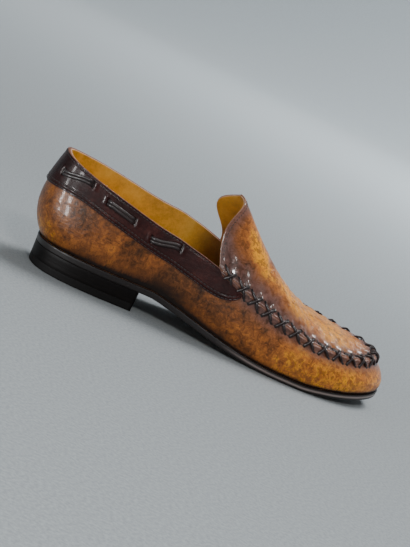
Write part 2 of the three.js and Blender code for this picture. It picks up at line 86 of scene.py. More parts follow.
# Sizes that only the dressing has
LEATHER = 1.0  # outer leather; the lining is the rest of the wall
FACING = 0.06  # between the leather and its lining
GROOVE = 0.25  # how deep a row of stitches is drawn in
STITCH_PITCH = 2.9
STITCH_LENGTH = 2.2
STITCH_WIDTH = 0.62
GATHER = 1.05  # height of the apron's gathers between the crosses
GATHER_REACH = 12
SEAM_PUFF = 1.36  # the rolled seam between the crosses, share of SEAM_RISE
SEAM_PINCH = 0.66  # how much of it is pressed in under a cross
BURNISH_REACH = 10.2  # how far the burnish reaches from the seam
BAND_LOW_ROWS = [1.5, 4.0]  # rows of stitches above the band's lower edge
BAND_TOP_ROW = 1.9  # and below the topline
SLIT_HEIGHT = 6.0  # of the slits that the collar laces go through
RUN_SLANTS = [-3.6, 0.0, -2.8]  # how far each lace run drops from its middle to its ends
CROSS_DRAWN = 0.88  # width of a cross's taut thong, share of LACE_WIDTH
CROSS_END = 1.24  # where a cross's ends are down in their holes, share of its half length
TONGUE_ROW = 3.0  # the tongue's stitches, this far inside its edge
TONGUE_STITCH = {"pitch": 2.6, "length": 1.9, "width": 0.55}
HOLE = 1.1  # radius of the holes that the crosses go through
HOLE_ALONG = 4.5  # their distances from the middle of the cross, along the seam
HOLE_ACROSS = 5.3  # and across it

# Wall stations, from the back of the heel along the outer side, round the toe and back on the inner side.
# along, top_along: share of SOLE_LENGTH from the back of the sole; side, top_side: share of BALL_WIDTH;
# rise: top edge above the outsole, share of QUARTER_HEIGHT; flare: how the wall leaves the sole, leaning
# out; lean: how it reaches its top edge, leaning in. Both in degrees from upright.
WALL = "along side flare top_along top_side rise lean", [
    [0.004, 0.0, 45, -0.018, 0.0, 0.992, 14],
    [0.025, -0.204, 39, 0.0, -0.173, 0.955, 11],
    [0.092, -0.311, 24, 0.078, -0.265, 0.865, 8],
    [0.191, -0.327, 14, 0.181, -0.296, 0.768, 8],
    [0.304, -0.306, 12, 0.297, -0.306, 0.678, 10],
    [0.425, -0.337, 16, 0.418, -0.347, 0.671, 18],
    [0.545, -0.418, 20, 0.524, -0.378, 0.612, 34],
    [0.658, -0.469, 22, 0.637, -0.388, 0.51, 46],
    [0.765, -0.459, 22, 0.743, -0.367, 0.425, 52],
    [0.857, -0.383, 22, 0.835, -0.296, 0.371, 52],
    [0.928, -0.255, 25, 0.899, -0.184, 0.348, 50],
    [0.976, -0.092, 25, 0.937, -0.051, 0.354, 48],
    [0.989, 0.071, 25, 0.947, 0.082, 0.364, 48],
    [0.968, 0.235, 25, 0.924, 0.214, 0.392, 48],
    [0.91, 0.367, 24, 0.871, 0.306, 0.448, 50],
    [0.821, 0.459, 20, 0.789, 0.367, 0.528, 50],
    [0.715, 0.495, 18, 0.694, 0.388, 0.605, 44],
    [0.602, 0.449, 16, 0.591, 0.378, 0.702, 34],
    [0.481, 0.342, 16, 0.481, 0.352, 0.795, 22],
    [0.368, 0.265, 16, 0.382, 0.321, 0.82, 10],
    [0.269, 0.265, 16, 0.28, 0.291, 0.835, 8],
    [0.177, 0.291, 18, 0.177, 0.276, 0.895, 8],
    [0.088, 0.291, 24, 0.078, 0.25, 0.952, 8],
    [0.025, 0.194, 39, 0.0, 0.163, 0.986, 11],
]
APEX = 12  # station of the seam's foremost point
SEAM_SPAN = 6.9  # stations from there to the end of the seam on the outer side
INNER_SPAN = 6.25  # and on the inner side
STATIONS = len(WALL[1])
WALL_HANDLE = 0.4  # handles of the wall's curve, share of its height

# Apron ribs, evenly spaced from the apex of the seam to the end of the tongue, each from seam to ridge.
# along, side: ridge point, shares of SOLE_LENGTH and BALL_WIDTH; crown: its height above the seam, share
# of TONGUE_RISE; lift: how the rib leaves the seam, in degrees from level; shoulder, cap: its handles,
# shares of its length; outer_bow, inner_bow: how far its flanks curl back towards the heel; curl: how far
# the outer one turns back below and forward above. Those three are shares of SOLE_LENGTH.
APRON = "along side crown lift shoulder cap outer_bow inner_bow curl", [
    [0.845, 0.075, 0.1, 20, 0.35, 0.4, 0, 0, 0],
    [0.838, 0.072, 0.118, 20, 0.35, 0.4, 0, 0, 0],
    [0.81, 0.065, 0.158, 24, 0.36, 0.42, 0, 0, 0],
    [0.767, 0.052, 0.19, 28, 0.38, 0.46, 0, 0, 0],
    [0.702, 0.036, 0.24, 38, 0.4, 0.5, 0, 0, 0],
    [0.618, 0.018, 0.41, 58, 0.45, 0.56, 0, 0.002, 0],
    [0.517, 0, 0.67, 72, 0.45, 0.52, 0.006, 0.02, 0.005],
    [0.425, 0, 0.93, 76, 0.43, 0.44, 0.011, 0.051, 0.0146],
]

# Underside of the outsole: share of SOLE_LENGTH, then shares of HEEL_HEIGHT and TOE_SPRING in its height.
UNDERSIDE = "along heel spring", [
    [0, 1, 0],
    [0.3, 1, 0],
    [0.36, 0.83, 0],
    [0.446, 0.5, 0],
    [0.535, 0.2, 0],
    [0.62, 0.035, 0],
    [0.67, 0, 0],
    [0.74, 0, 0],
    [0.81, 0, 0.18],
    [0.905, 0, 0.55],
    [1, 0, 1],
]


# Curves through tables
def cubic(low, high, low_slope, high_slope, t):
    value = low * (1 + t * t * (2 * t - 3)) + low_slope * t * (1 - t) ** 2
    return value + high * t * t * (3 - 2 * t) - high_slope * t * t * (1 - t)


class Curve:
    """A cubic through evenly spaced rows of named columns. A closed one runs on from last row to first."""

    def __init__(self, table, closed=False):
        names, rows = table
        self.names = names.split()
        self.rows = np.array(rows, float)
        self.closed = closed
        count = len(self.rows)
        system = 4 * np.eye(count) + np.eye(count, k=1) + np.eye(count, k=-1)
        chords = 3 * (np.roll(self.rows, -1, 0) - np.roll(self.rows, 1, 0))
        if closed:
            system[0, -1] = system[-1, 0] = 1
        else:
            system[0, 0] = system[-1, -1] = 2
            chords[0] = 3 * (self.rows[1] - self.rows[0])
            chords[-1] = 3 * (self.rows[-1] - self.rows[-2])
        self.slopes = np.linalg.solve(system, chords)

    def __call__(self, place):
        place = np.asarray(place, float)
        count = len(self.rows)
        cell = np.floor(place).astype(int)
        if not self.closed:
            cell = np.clip(cell, 0, count - 2)
        i = cell % count
        j = (i + 1) % count
        t = (place - cell)[..., None]
        value = cubic(self.rows[i], self.rows[j], self.slopes[i], self.slopes[j], t)
        return SimpleNamespace(**{name: value[..., k] for k, name in enumerate(self.names)})


def steady(stations, heights):
    """A cubic through unevenly spaced heights that never overshoots, so level runs stay level."""
    secants = np.diff(heights) / np.diff(stations)
    before, after = secants[:-1], secants[1:]
    turning = before * after <= 0
    total = np.where(turning, 1, before + after)
    slopes = np.concatenate([secants[:1], np.where(turning, 0, 2 * before * after / total), secants[-1:]])

    def at(x):
        cell = np.clip(np.searchsorted(stations, x, side="right") - 1, 0, len(stations) - 2)
        width = stations[cell + 1] - stations[cell]
        low_slope, high_slope = slopes[cell] * width, slopes[cell + 1] * width
        return cubic(heights[cell], heights[cell + 1], low_slope, high_slope, (x - stations[cell]) / width)

    return at


def smooth(low, high, value):
    t = np.clip((np.asarray(value, float) - low) / (high - low), 0, 1)
    return t * t * (3 - 2 * t)


def unit(vectors):
    return vectors / np.maximum(np.linalg.norm(vectors, axis=-1, keepdims=True), 1e-12)


def vector(x, y, z):
    return np.stack(np.broadcast_arrays(x, y, z), -1).astype(float)


def tilted(level, degrees):
    angle = np.radians(degrees)[..., None]
    return level * np.sin(angle) + UP * np.cos(angle)


def bezier(a, b, c, d, t):
    t = t[..., None]
    return a * (1 - t) ** 3 + b * 3 * t * (1 - t) ** 2 + c * 3 * t * t * (1 - t) + d * t**3


# The form of the last
BACK = -HEEL_LENGTH / 2 - HEEL_TAPER / 2
wall_at = Curve(WALL, closed=True)
apron_at = Curve(APRON)
apron_rows = len(APRON[1]) - 1
levels = np.array(UNDERSIDE[1], float)
level_heights = levels[:, 1] * HEEL_HEIGHT + levels[:, 2] * TOE_SPRING
underside = steady(BACK + levels[:, 0] * SOLE_LENGTH, level_heights)


def sole_top(x):
    return underside(x) + OUTSOLE_THICKNESS


def foot(u):
    """The wall's foot, its feather line."""
    row = wall_at(u)
    x = BACK + row.along * SOLE_LENGTH
    return vector(x, row.side * BALL_WIDTH, sole_top(x) + CLEARANCE)


def edge(u):
    """The wall's top edge: the topline, and round the toe the seam."""
    row = wall_at(u)
    height = sole_top(BACK + row.along * SOLE_LENGTH) + row.rise * QUARTER_HEIGHT
    return vector(BACK + row.top_along * SOLE_LENGTH, row.top_side * BALL_WIDTH, height)


def outward(curve, u):
    step = 0.01
    along = curve(u + step) - curve(u - step)
    return unit(vector(along[..., 1], -along[..., 0], 0))


def wall(u, v):
    """The leather's face: u runs round the shoe, v from the foot to the top edge."""
    u, v = np.broadcast_arrays(u, v)
    row = wall_at(u)
    low, high = foot(u), edge(u)
    out = outward(foot, u)
    handle = WALL_HANDLE * np.linalg.norm(high - low, axis=-1)[..., None]
    leaving = low + handle * tilted(out, row.flare)
    reaching = high - handle * tilted(-out, row.lean)
    return bezier(low, leaving, reaching, high, v)


def seam_station(q):
    return APEX + q * np.where(np.asarray(q) > 0, INNER_SPAN / SEAM_SPAN, 1)


def seam_place(u):
    return np.where(u > APEX, (u - APEX) * SEAM_SPAN / INNER_SPAN, u - APEX)


def is_sewn(u):
    return (u >= APEX - SEAM_SPAN) & (u <= APEX + INNER_SPAN)


def ridge(p):
    """The ridge of the apron, p stations from the apex of the seam."""
    row = apron_at(p / SEAM_SPAN * apron_rows)
    base = (edge(seam_station(-p))[..., 2] + edge(seam_station(p))[..., 2]) / 2
    return vector(BACK + row.along * SOLE_LENGTH, row.side * BALL_WIDTH, base + row.crown * TONGUE_RISE)


def seam_pitch(u):
    lean = wall_at(u).lean
    share = np.clip(np.abs(seam_place(u)) / SEAM_SPAN, 0, 1)
    return np.where(is_sewn(u), (lean + 90 - apron_at(share * apron_rows).lift) / 2, lean)


def apron(q, t):
    """The apron's face: q counts stations from the apex, below zero outside; t runs up to the ridge."""
    q, t = np.broadcast_arrays(q, t)
    p = np.abs(q)
    row = apron_at(p / SEAM_SPAN * apron_rows)
    u = seam_station(q)
    low = edge(u) + CLEARANCE * tilted(-outward(edge, u), seam_pitch(u))
    high = ridge(p)
    fall = ridge(np.minimum(p + 1, SEAM_SPAN)) - ridge(np.maximum(p - 1, 0))
    inward = (high - low) * [1, 1, 0]
    half = np.linalg.norm(inward, axis=-1)[..., None]
    inward = unit(inward)
    reach = (row.shoulder * np.linalg.norm(high - low, axis=-1))[..., None]
    level = inward + vector(0, 0, fall[..., 2] / fall[..., 0] * inward[..., 0])
    shoulder = low + reach * tilted(inward, 90 - row.lift)
    point = bezier(low, shoulder, high - row.cap[..., None] * half * level, high, t)
    bow = np.where(q > 0, row.inner_bow, row.outer_bow) * np.sin(np.pi * t) ** 2
    turn = np.where(q > 0, 0, row.curl * np.sin(2 * np.pi * t))
    return point - vector((bow + turn) * SOLE_LENGTH, 0, 0)


def shares_at(strips, distances):
    """The share along each strip of points at which each of its distances is reached."""
    parts = np.linalg.norm(np.diff(strips, axis=1), axis=-1)
    lengths = np.concatenate([np.zeros((len(strips), 1)), np.cumsum(parts, 1)], 1)
    shares = np.linspace(0, 1, strips.shape[1])
    return np.array([np.interp(wanted, length, shares) for wanted, length in zip(distances, lengths)])


STRIP = np.linspace(0, 1, 49)


def below(u, distances):
    """The wall's v at distances below its top edge, one row of them for each u."""
    u = np.asarray(u, float)
    return 1 - shares_at(wall(u[:, None], 1 - STRIP), distances)


def inside(q, distances):
    """The apron's t at distances inside the seam, one row of them for each q."""
    q = np.asarray(q, float)
    return shares_at(apron(q[:, None], STRIP), distances)


def facing(surface, s, t, step_s, step_t):
    along_s = surface(s + step_s, t) - surface(s - step_s, t)
    along_t = surface(s, t + step_t) - surface(s, t - step_t)
    return unit(np.cross(along_s, along_t))


def wall_out(u, v):
    return facing(wall, u, np.minimum(v, 0.99), 0.02, 0.005)


def apron_out(q, t):
    return facing(apron, np.clip(q, 0.02 - SEAM_SPAN, SEAM_SPAN - 0.02), np.clip(t, 0.02, 0.98), 0.02, 0.01)


def turned(u, normal, share):
    """Normals that turn from halfway between the wall and apron, at the seam, to the face's own."""
    share = np.clip(share, 0, 1)[..., None]
    return unit(tilted(outward(edge, u), 90 - seam_pitch(u)) * (1 - share) + normal * share)


# Distances along the top edge, from the seam's start on the outer side, round the toe and on round the heel
RUN = np.linspace(seam_station(-SEAM_SPAN), seam_station(-SEAM_SPAN) + STATIONS, 2401)
RUN_LENGTH = np.concatenate([[0], np.cumsum(np.linalg.norm(np.diff(edge(RUN), axis=0), axis=-1))])
SEWN_LENGTH = float(np.interp(seam_station(SEAM_SPAN), RUN, RUN_LENGTH))
CROSS_COUNT = round((SEWN_LENGTH - 2 * CROSS_START) / CROSS_PITCH) + 1
CROSS_STEP = (SEWN_LENGTH - 2 * CROSS_START) / (CROSS_COUNT - 1)


def length_at(u):
    return np.interp((np.asarray(u) - RUN[0]) % STATIONS + RUN[0], RUN, RUN_LENGTH)


def station_at(length):
    return np.interp(length, RUN_LENGTH, RUN)


def cross_phase(length):
    """Distance from the nearest cross along the seam, as a share of the step between crosses."""
    turns = (length - CROSS_START) / CROSS_STEP
    return turns - np.round(turns)


def seam_ending(length):
    """1 along the seam, dying out at both of its ends."""
    return smooth(-1, 7, length) * smooth(-1, 7, SEWN_LENGTH - length)


def seam_rise(length, distance):
    """How far the rolled seam stands out: puffed between the crosses and pinched under each."""
    roll = 1 - smooth(0.3 * SEAM_HALF, 1.15 * SEAM_HALF, distance)
    pinch = SEAM_PINCH * np.exp(-((cross_phase(length) * CROSS_STEP / 3) ** 2))
    crown = 1 - 0.3 * np.exp(-((distance / 0.6) ** 2))
    return SEAM_RISE * roll * (SEAM_PUFF - pinch) * crown * seam_ending(length)


# Meshes
RIM_CELLS = 6  # round the edge of a piece of leather


def grid_faces(count, rows, closed):
    """Quads of a grid of points kept column by column."""
    i = np.arange(count if closed else count - 1)[:, None]
    j = np.arange(rows - 1)[None, :]
    a, b = i * rows + j, (i + 1) % count * rows + j
    return np.stack([a, b, b + 1, a + 1], -1).reshape(-1, 4)


def ring_faces(rings):
    """Quads between each ring of points and the next."""
    low, high = np.array(rings[:-1]), np.array(rings[1:])
    return np.stack([low, np.roll(low, -1, -1), np.roll(high, -1, -1), high], -1).reshape(-1, 4)


def rim(outer, inner, within):
    """Points of a half round edge between two lines of points, out past the points within them."""
    middle, half = (outer + inner) / 2, (outer - inner) / 2
    size = np.linalg.norm(half, axis=-1, keepdims=True)
    level = unit(half)
    out = outer - within
    out = unit(out - (out * level).sum(-1, keepdims=True) * level)
    angles = np.pi * np.arange(1, RIM_CELLS) / RIM_CELLS
    return [middle + half * math.cos(angle) + out * size * math.sin(angle) for angle in angles]


def add_object(name, data):
    made = bpy.data.objects.new(name, data)
    bpy.context.scene.collection.objects.link(made)
    return made


def add_piece(name, points, faces, finish, nodes=(), marks=None):
    """A piece of the shoe: a closed mesh with its finish. marks are numbers at its points."""
    mesh = bpy.data.meshes.new(name)
    corners = np.concatenate([face.ravel() for face in faces])
    sizes = np.concatenate([np.full(len(face), face.shape[1]) for face in faces])
    mesh.vertices.add(len(points))
    mesh.vertices.foreach_set("co", (points * METRES).astype(np.float32).ravel())
    mesh.loops.add(len(corners))
    mesh.loops.foreach_set("vertex_index", corners.astype(np.int32))
    mesh.polygons.add(len(sizes))
    mesh.polygons.foreach_set("loop_start", (np.cumsum(sizes) - sizes).astype(np.int32))
    for mark, values in (marks or {}).items():
        mesh.attributes.new(mark, "FLOAT", "POINT").data.foreach_set("value", values.astype(np.float32))
    mesh.update(calc_edges=True)
    mesh.validate()
    solid = bmesh.new()
    solid.from_mesh(mesh)
    bmesh.ops.remove_doubles(solid, verts=solid.verts, dist=1e-6)
    bmesh.ops.recalc_face_normals(solid, faces=solid.faces)
    solid.to_mesh(mesh)
    solid.free()
    mesh.shade_smooth()
    mesh.materials.append(finish)
    piece = add_object(name, mesh)
    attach(piece, "root")
    if nodes:
        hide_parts(*nodes)


def side_borders(index):
    """The two borders of a grid that closes on itself, each with the points just within it."""
    return [(index[:, 0], index[:, 1]), (index[:, -1], index[:, -2])]


def whole_border(index):
    """The one border of an open grid."""
    count, rows = index.shape
    line = np.concatenate([index[:, 0], index[-1, 1:], index[-2::-1, -1], index[0, -2:0:-1]])
    near = np.concatenate([index[:, 1], index[-2, 1:], index[-2::-1, -2], index[1, -2:0:-1]])
    near[0], near[count - 1] = index[1, 1], index[-2, 1]
    near[count + rows - 2], near[2 * count + rows - 3] = index[-2, -2], index[1, -2]
    return [(line, near)]


def fan_border(index):
    """The border of a fan of ribs whose last points lie together on a ridge: its first and last rib and
    the first point of each."""
    count, rows = index.shape
    line = np.concatenate([index[0, :0:-1], index[:, 0], index[-1, 1:-1]])
    near = np.concatenate([index[1, :0:-1], index[:, 1], index[-2, 1:-1]])
    near[rows - 1], near[rows + count - 2] = index[1, 1], index[-2, 1]
    return [(line, near)]


def add_shell(name, outer, inner, finish, node, marks, borders):
    """A piece with a closed skin between two grids, with half round edges along their borders."""
    count, rows = outer.shape[:2]
    size = count * rows
    cells = grid_faces(count, rows, borders is side_borders)
    points = [outer.reshape(-1, 3), inner.reshape(-1, 3)]
    marks = {mark: [value.ravel(), value.ravel()] for mark, value in marks.items()}
    edges = [np.zeros(2 * size)]
    faces = [cells, cells[:, ::-1] + size]
    total = 2 * size
    for line, near in borders(np.arange(size).reshape(count, rows)):
        bands = rim(points[0][line], points[1][line], points[0][near])
        fresh = total + np.arange(len(bands) * len(line)).reshape(len(bands), -1)
        faces.append(ring_faces([line, *fresh, line + size]))
        points += bands
        for values in marks.values():
            values += [values[0][line]] * len(bands)
        edges.append(np.ones(fresh.size))
        total += fresh.size
    marks = {mark: np.concatenate(values) for mark, values in {**marks, "rim": edges}.items()}
    add_piece(name, np.concatenate(points), faces, finish, [node], marks)


def thong(path, up, radius, flat):
    """A thong along a path, with rounded ends. It is flattened by this share along up."""
    sides = 10
    ahead = unit(np.gradient(path, axis=0))
    across = unit(np.cross(ahead, up))
    over = np.cross(across, ahead)
    angles = 2 * np.pi * np.arange(sides) / sides
    around = np.cos(angles)[:, None, None] * across + flat * np.sin(angles)[:, None, None] * over
    rings = path + around * radius
    caps = []
    for end, way in ((0, -1), (-1, 1)):
        for share in (0.5, 0.87):
            ring = path[end] + around[:, end] * radius * math.sqrt(1 - share * share)
            caps.append(ring + way * ahead[end] * radius * share)
    points = np.concatenate([caps[1], caps[0], *np.moveaxis(rings, 1, 0), caps[2], caps[3]])
    index = np.arange(len(points)).reshape(-1, sides)
    return points, [ring_faces(index), index[:1, ::-1], index[-1:]]


def add_strands(name, strands, finish, nodes=()):
    """A piece of several strands of points and faces."""
    points, faces, total = [], [], 0
    for strand_points, strand_faces in strands:
        points.append(strand_points)
        faces += [face + total for face in strand_faces]
        total += len(strand_points)
    add_piece(name, np.concatenate(points), faces, finish, nodes)


def along_path(path, pitch):
    """Places a pitch apart along a path, as numbers along its list of points."""
    lengths = np.concatenate([[0], np.cumsum(np.linalg.norm(np.diff(path, axis=0), axis=-1))])
    wanted = np.arange(pitch / 2, lengths[-1], pitch)
    return np.interp(wanted, lengths, np.arange(len(path)))


def at_places(values, places):
    low = np.clip(np.floor(places).astype(int), 0, len(values) - 2)
    part = (places - low)[:, None]
    return values[low] * (1 - part) + values[low + 1] * part


def stitches(path, normals, pitch=STITCH_PITCH, length=STITCH_LENGTH, width=STITCH_WIDTH):
    """A row of thread stitches on a line of the surface, each a small bowed bar with rounded ends."""
    places = along_path(path, pitch)
    middle = at_places(path, places)
    over = unit(at_places(normals, places))
    after = at_places(path, np.minimum(places + 0.5, len(path) - 1))
    ahead = after - at_places(path, np.maximum(places - 0.5, 0))
    ahead = unit(ahead - (ahead * over).sum(-1, keepdims=True) * over)
    across = np.cross(over, ahead)
    sides, rings = 6, np.array([-1, -0.85, -0.4, 0.4, 0.85, 1])
    girth = np.array([0.2, 0.7, 1, 1, 0.7, 0.2])
    bow = 0.3 - 0.75 * np.abs(rings) ** 3
    angles = 2 * np.pi * np.arange(sides) / sides
    wide = girth[:, None] * np.cos(angles)
    high = girth[:, None] * np.sin(angles) + bow[:, None]
    points = (
        middle[:, None, None]
        + ahead[:, None, None] * (rings * length / 2)[None, :, None, None]
        + across[:, None, None] * wide[None, :, :, None] * width / 2
        + over[:, None, None] * (high * width / 2)[None, :, :, None]
    ).reshape(-1, 3)
    index = np.arange(sides * len(rings)).reshape(-1, sides)
    ends = np.stack([index[0, ::-1], index[-1]])
    first = (np.arange(len(middle)) * index.size)[:, None, None]
    return points, [(ring_faces(index) + first).reshape(-1, 4), (ends + first).reshape(-1, sides)]


# Places on the outer skin
def seam_skin(u, distance, lift):
    """A place beside the seam: a distance below zero lies on the wall, above it on the apron."""
    u, distance, lift = (np.asarray(value, float) for value in np.broadcast_arrays(u, distance, lift))
    reach = np.abs(distance)[:, None]
    q = seam_place(u)
    v, t = below(u, reach)[:, 0], inside(q, reach)[:, 0]
    on_wall = (distance < 0)[:, None]
    point = np.where(on_wall, wall(u, v), apron(q, t))
    face = np.where(on_wall, wall_out(u, v), apron_out(q, t))
    normal = turned(u, face, reach[:, 0] / (0.4 * SEAM_HALF))
    length = length_at(u)
    return point + normal * (lift + seam_rise(length, reach[:, 0]))[:, None], normal


def band_skin(u, depth, lift):
    """A place on the collar band, this far below the topline."""
    u, depth, lift = (np.asarray(value, float) for value in np.broadcast_arrays(u, depth, lift))
    v = below(u, depth[:, None])[:, 0]
    normal = wall_out(u, v)
    return wall(u, v) + normal * (CLEARANCE + BAND_THICKNESS + lift)[:, None], normal


# Creases of the leather: places as (station, share) on the apron, with depth and half width in millimetres.
APRON_CREASES = [
    ([(-5.5, 0.35), (-5.6, 0.65), (-5.5, 0.97)], 0.6, 2.4),
    ([(-4.9, 0.5), (-5.05, 0.8), (-4.95, 1.0)], 0.8, 2.2),
    ([(-4.5, 0.35), (-4.7, 0.65), (-4.55, 0.98)], 0.9, 2.2),
    ([(-4.1, 0.55), (-4.25, 0.8), (-4.15, 1.0)], 0.8, 1.9),
    ([(-3.7, 0.4), (-3.9, 0.7), (-3.75, 0.98)], 0.7, 2.0),
    ([(-3.3, 0.6), (-3.45, 0.85), (-3.35, 1.0)], 0.5, 1.8),
    ([(5.5, 0.4), (5.6, 0.7), (5.5, 0.97)], 0.6, 2.4),
    ([(4.9, 0.5), (5.05, 0.75), (4.95, 0.98)], 0.7, 2.2),
    ([(4.4, 0.4), (4.6, 0.7), (4.5, 0.98)], 0.8, 2.2),
    ([(3.8, 0.45), (3.95, 0.7), (3.85, 0.98)], 0.6, 2.0),
]
# The same on the wall, as (station, share of the height).
WALL_CREASES = [
    ([(6.4, 0.62), (6.7, 0.45), (6.9, 0.3)], 0.45, 3.4),
    ([(7.1, 0.66), (7.4, 0.5), (7.6, 0.36)], 0.4, 3.2),
    ([(0.75, 0.6), (1.3, 0.58), (1.9, 0.62)], 0.3, 2.2),
    ([(0.7, 0.5), (1.2, 0.49), (1.7, 0.52)], 0.25, 2.0),
    ([(17.0, 0.7), (16.8, 0.5), (16.6, 0.35)], 0.45, 3.4),
    ([(17.7, 0.66), (17.4, 0.48), (17.2, 0.34)], 0.4, 3.2),
]


def crease_depth(points, surface, creases):
    """How far the leather sinks at the creases, with a low ridge along both sides of each trough."""
    total = np.zeros(points.shape[:-1])
    share = np.linspace(0, 1, 25)
    for places, depth, width in creases:
        s, t = np.array(places, float).T
        line = surface(np.interp(share, [0, 0.5, 1], s), np.interp(share, [0, 0.5, 1], t))
        away = np.linalg.norm(points[..., None, :] - line, axis=-1)
        nearest = away.argmin(-1)
        near = away.min(-1) / width
        fade = np.sin(np.pi * np.clip(share[nearest], 0.04, 0.96)) ** 0.7
        total += depth * fade * (np.exp(-near * near) - 0.45 * np.exp(-((near - 2) ** 2)))
    return total


# Finishes
class Value:
    """A socket of a shader. Sums on it add their Math nodes."""

    def __init__(self, finish, socket):
        self.finish = finish
        self.socket = socket

    def math(self, operation, *others):
        values = dict(enumerate([self, *others]))
        return self.finish.node("ShaderNodeMath", {"operation": operation}, values)

    def __add__(self, other):
        return self.math("ADD", other)

    def __sub__(self, other):
        return self.math("SUBTRACT", other)

    def __rsub__(self, other):
        return self.finish.node("ShaderNodeMath", {"operation": "SUBTRACT"}, {0: other, 1: self})

    def __mul__(self, other):
        return self.math("MULTIPLY", other)

    __radd__ = __add__
    __rmul__ = __mul__

    def between(self, low, high):
        """0 below low, 1 above high, smooth in between."""
        settings = {"interpolation_type": "SMOOTHSTEP"}
        sockets = {"Value": self, "From Min": low, "From Max": high}
        return self.finish.node("ShaderNodeMapRange", settings, sockets)


class Finish:
    """One material, its nodes made by expressions."""

    def __init__(self, name):
        self.material = bpy.data.materials.new(name)
        self.material.use_nodes = True
        self.tree = self.material.node_tree
        self.tree.nodes.clear()

    def node(self, kind, settings=None, sockets=None, output=0):
        """A node with its settings and sockets. A socket given None keeps what it has."""
        made = self.tree.nodes.new(kind)
        for key, value in (settings or {}).items():
            setattr(made, key, value)
        for key, value in (sockets or {}).items():
            if isinstance(value, Value):
                self.tree.links.new(value.socket, made.inputs[key])
            elif value is not None:
                made.inputs[key].default_value = value
        return Value(self, made.outputs[output]) if made.outputs else None

    def mark(self, name):
        return self.node("ShaderNodeAttribute", {"attribute_name": name}, output="Fac")

    def place(self, stretch=(1, 1, 1)):
        """The place on the shoe in millimetres, stretched for long grains."""
        here = self.node("ShaderNodeTexCoord", output="Object")
        scale = tuple(value / METRES for value in stretch)
        return self.node("ShaderNodeVectorMath", {"operation": "MULTIPLY"}, {0: here, 1: scale})

    def noise(self, size, detail, roughness, stretch=(1, 1, 1), twist=0.0):
        """Cloudy noise with blotches of this size in millimetres."""
        sockets = {"Vector": self.place(stretch), "Scale": 1 / size, "Detail": detail}
        sockets |= {"Roughness": roughness, "Distortion": twist}
        return self.node("ShaderNodeTexNoise", {}, sockets)

    def cells(self, size):
        sockets = {"Vector": self.place(), "Scale": 1 / size}
        return self.node("ShaderNodeTexVoronoi", {"feature": "F1"}, sockets)

    def colours(self, value, *stops):
        """A ramp through colours at these places of the value."""
        ramp = self.node("ShaderNodeValToRGB", {}, {"Fac": value})
        elements = ramp.socket.node.color_ramp.elements
        while len(elements) < len(stops):
            elements.new(0.5)
        for element, (place, colour) in zip(elements, stops):
            element.position = place
            element.color = srgb(colour)
        return ramp

    def mix(self, factor, first, second):
        """Two colours mixed: the first where the factor is 0, the second where it is 1."""
        sockets = {0: factor}
        for place, colour in ((6, first), (7, second)):
            sockets[place] = colour if isinstance(colour, Value) else srgb(colour)
        return self.node("ShaderNodeMix", {"data_type": "RGBA"}, sockets, output=2)

    def bump(self, height, distance, normal=None):
        """A height in shares of a distance in millimetres."""
        sockets = {"Strength": 1.0, "Distance": distance * METRES, "Height": height, "Normal": normal}
        return self.node("ShaderNodeBump", {}, sockets)

    def done(self, colour, roughness, normal=None, coat=None, coat_roughness=None, shine=None):
        """The surface shader. shine is its specular level."""
        sockets = {"Base Color": colour, "Roughness": roughness, "Normal": normal}
        sockets |= {"Coat Weight": coat, "Coat Roughness": coat_roughness, "Specular IOR Level": shine}
        surface = self.node("ShaderNodeBsdfPrincipled", {}, sockets)
        self.node("ShaderNodeOutputMaterial", {}, {"Surface": surface})
        return self.material


def srgb(text):
    """A colour from its six hexadecimal digits."""
    parts = [int(text[k : k + 2], 16) / 255 for k in (0, 2, 4)]
    return *(part / 12.92 if part <= 0.04045 else ((part + 0.055) / 1.055) ** 2.4 for part in parts), 1


# Colours of the leather's patina
GOLD = "f2a016"
AMBER = "e99a2c"
HONEY = "c67630"
TAN = "955526"
RUSSET = "593416"
BURNISH = "351d14"
PLUM = "79554e"
NIGHT = "1b0f09"


def pores(finish, size=0.5):
    """Fine pores of calf leather, and the faint ripples that hand polishing leaves across it."""
    grain = finish.cells(size).between(0.0, 0.8)
    ripples = finish.noise(6.0, 2.0, 0.5, stretch=(1, 1, 2.8))
    return finish.bump(ripples, 0.3, finish.bump(grain, 0.06))


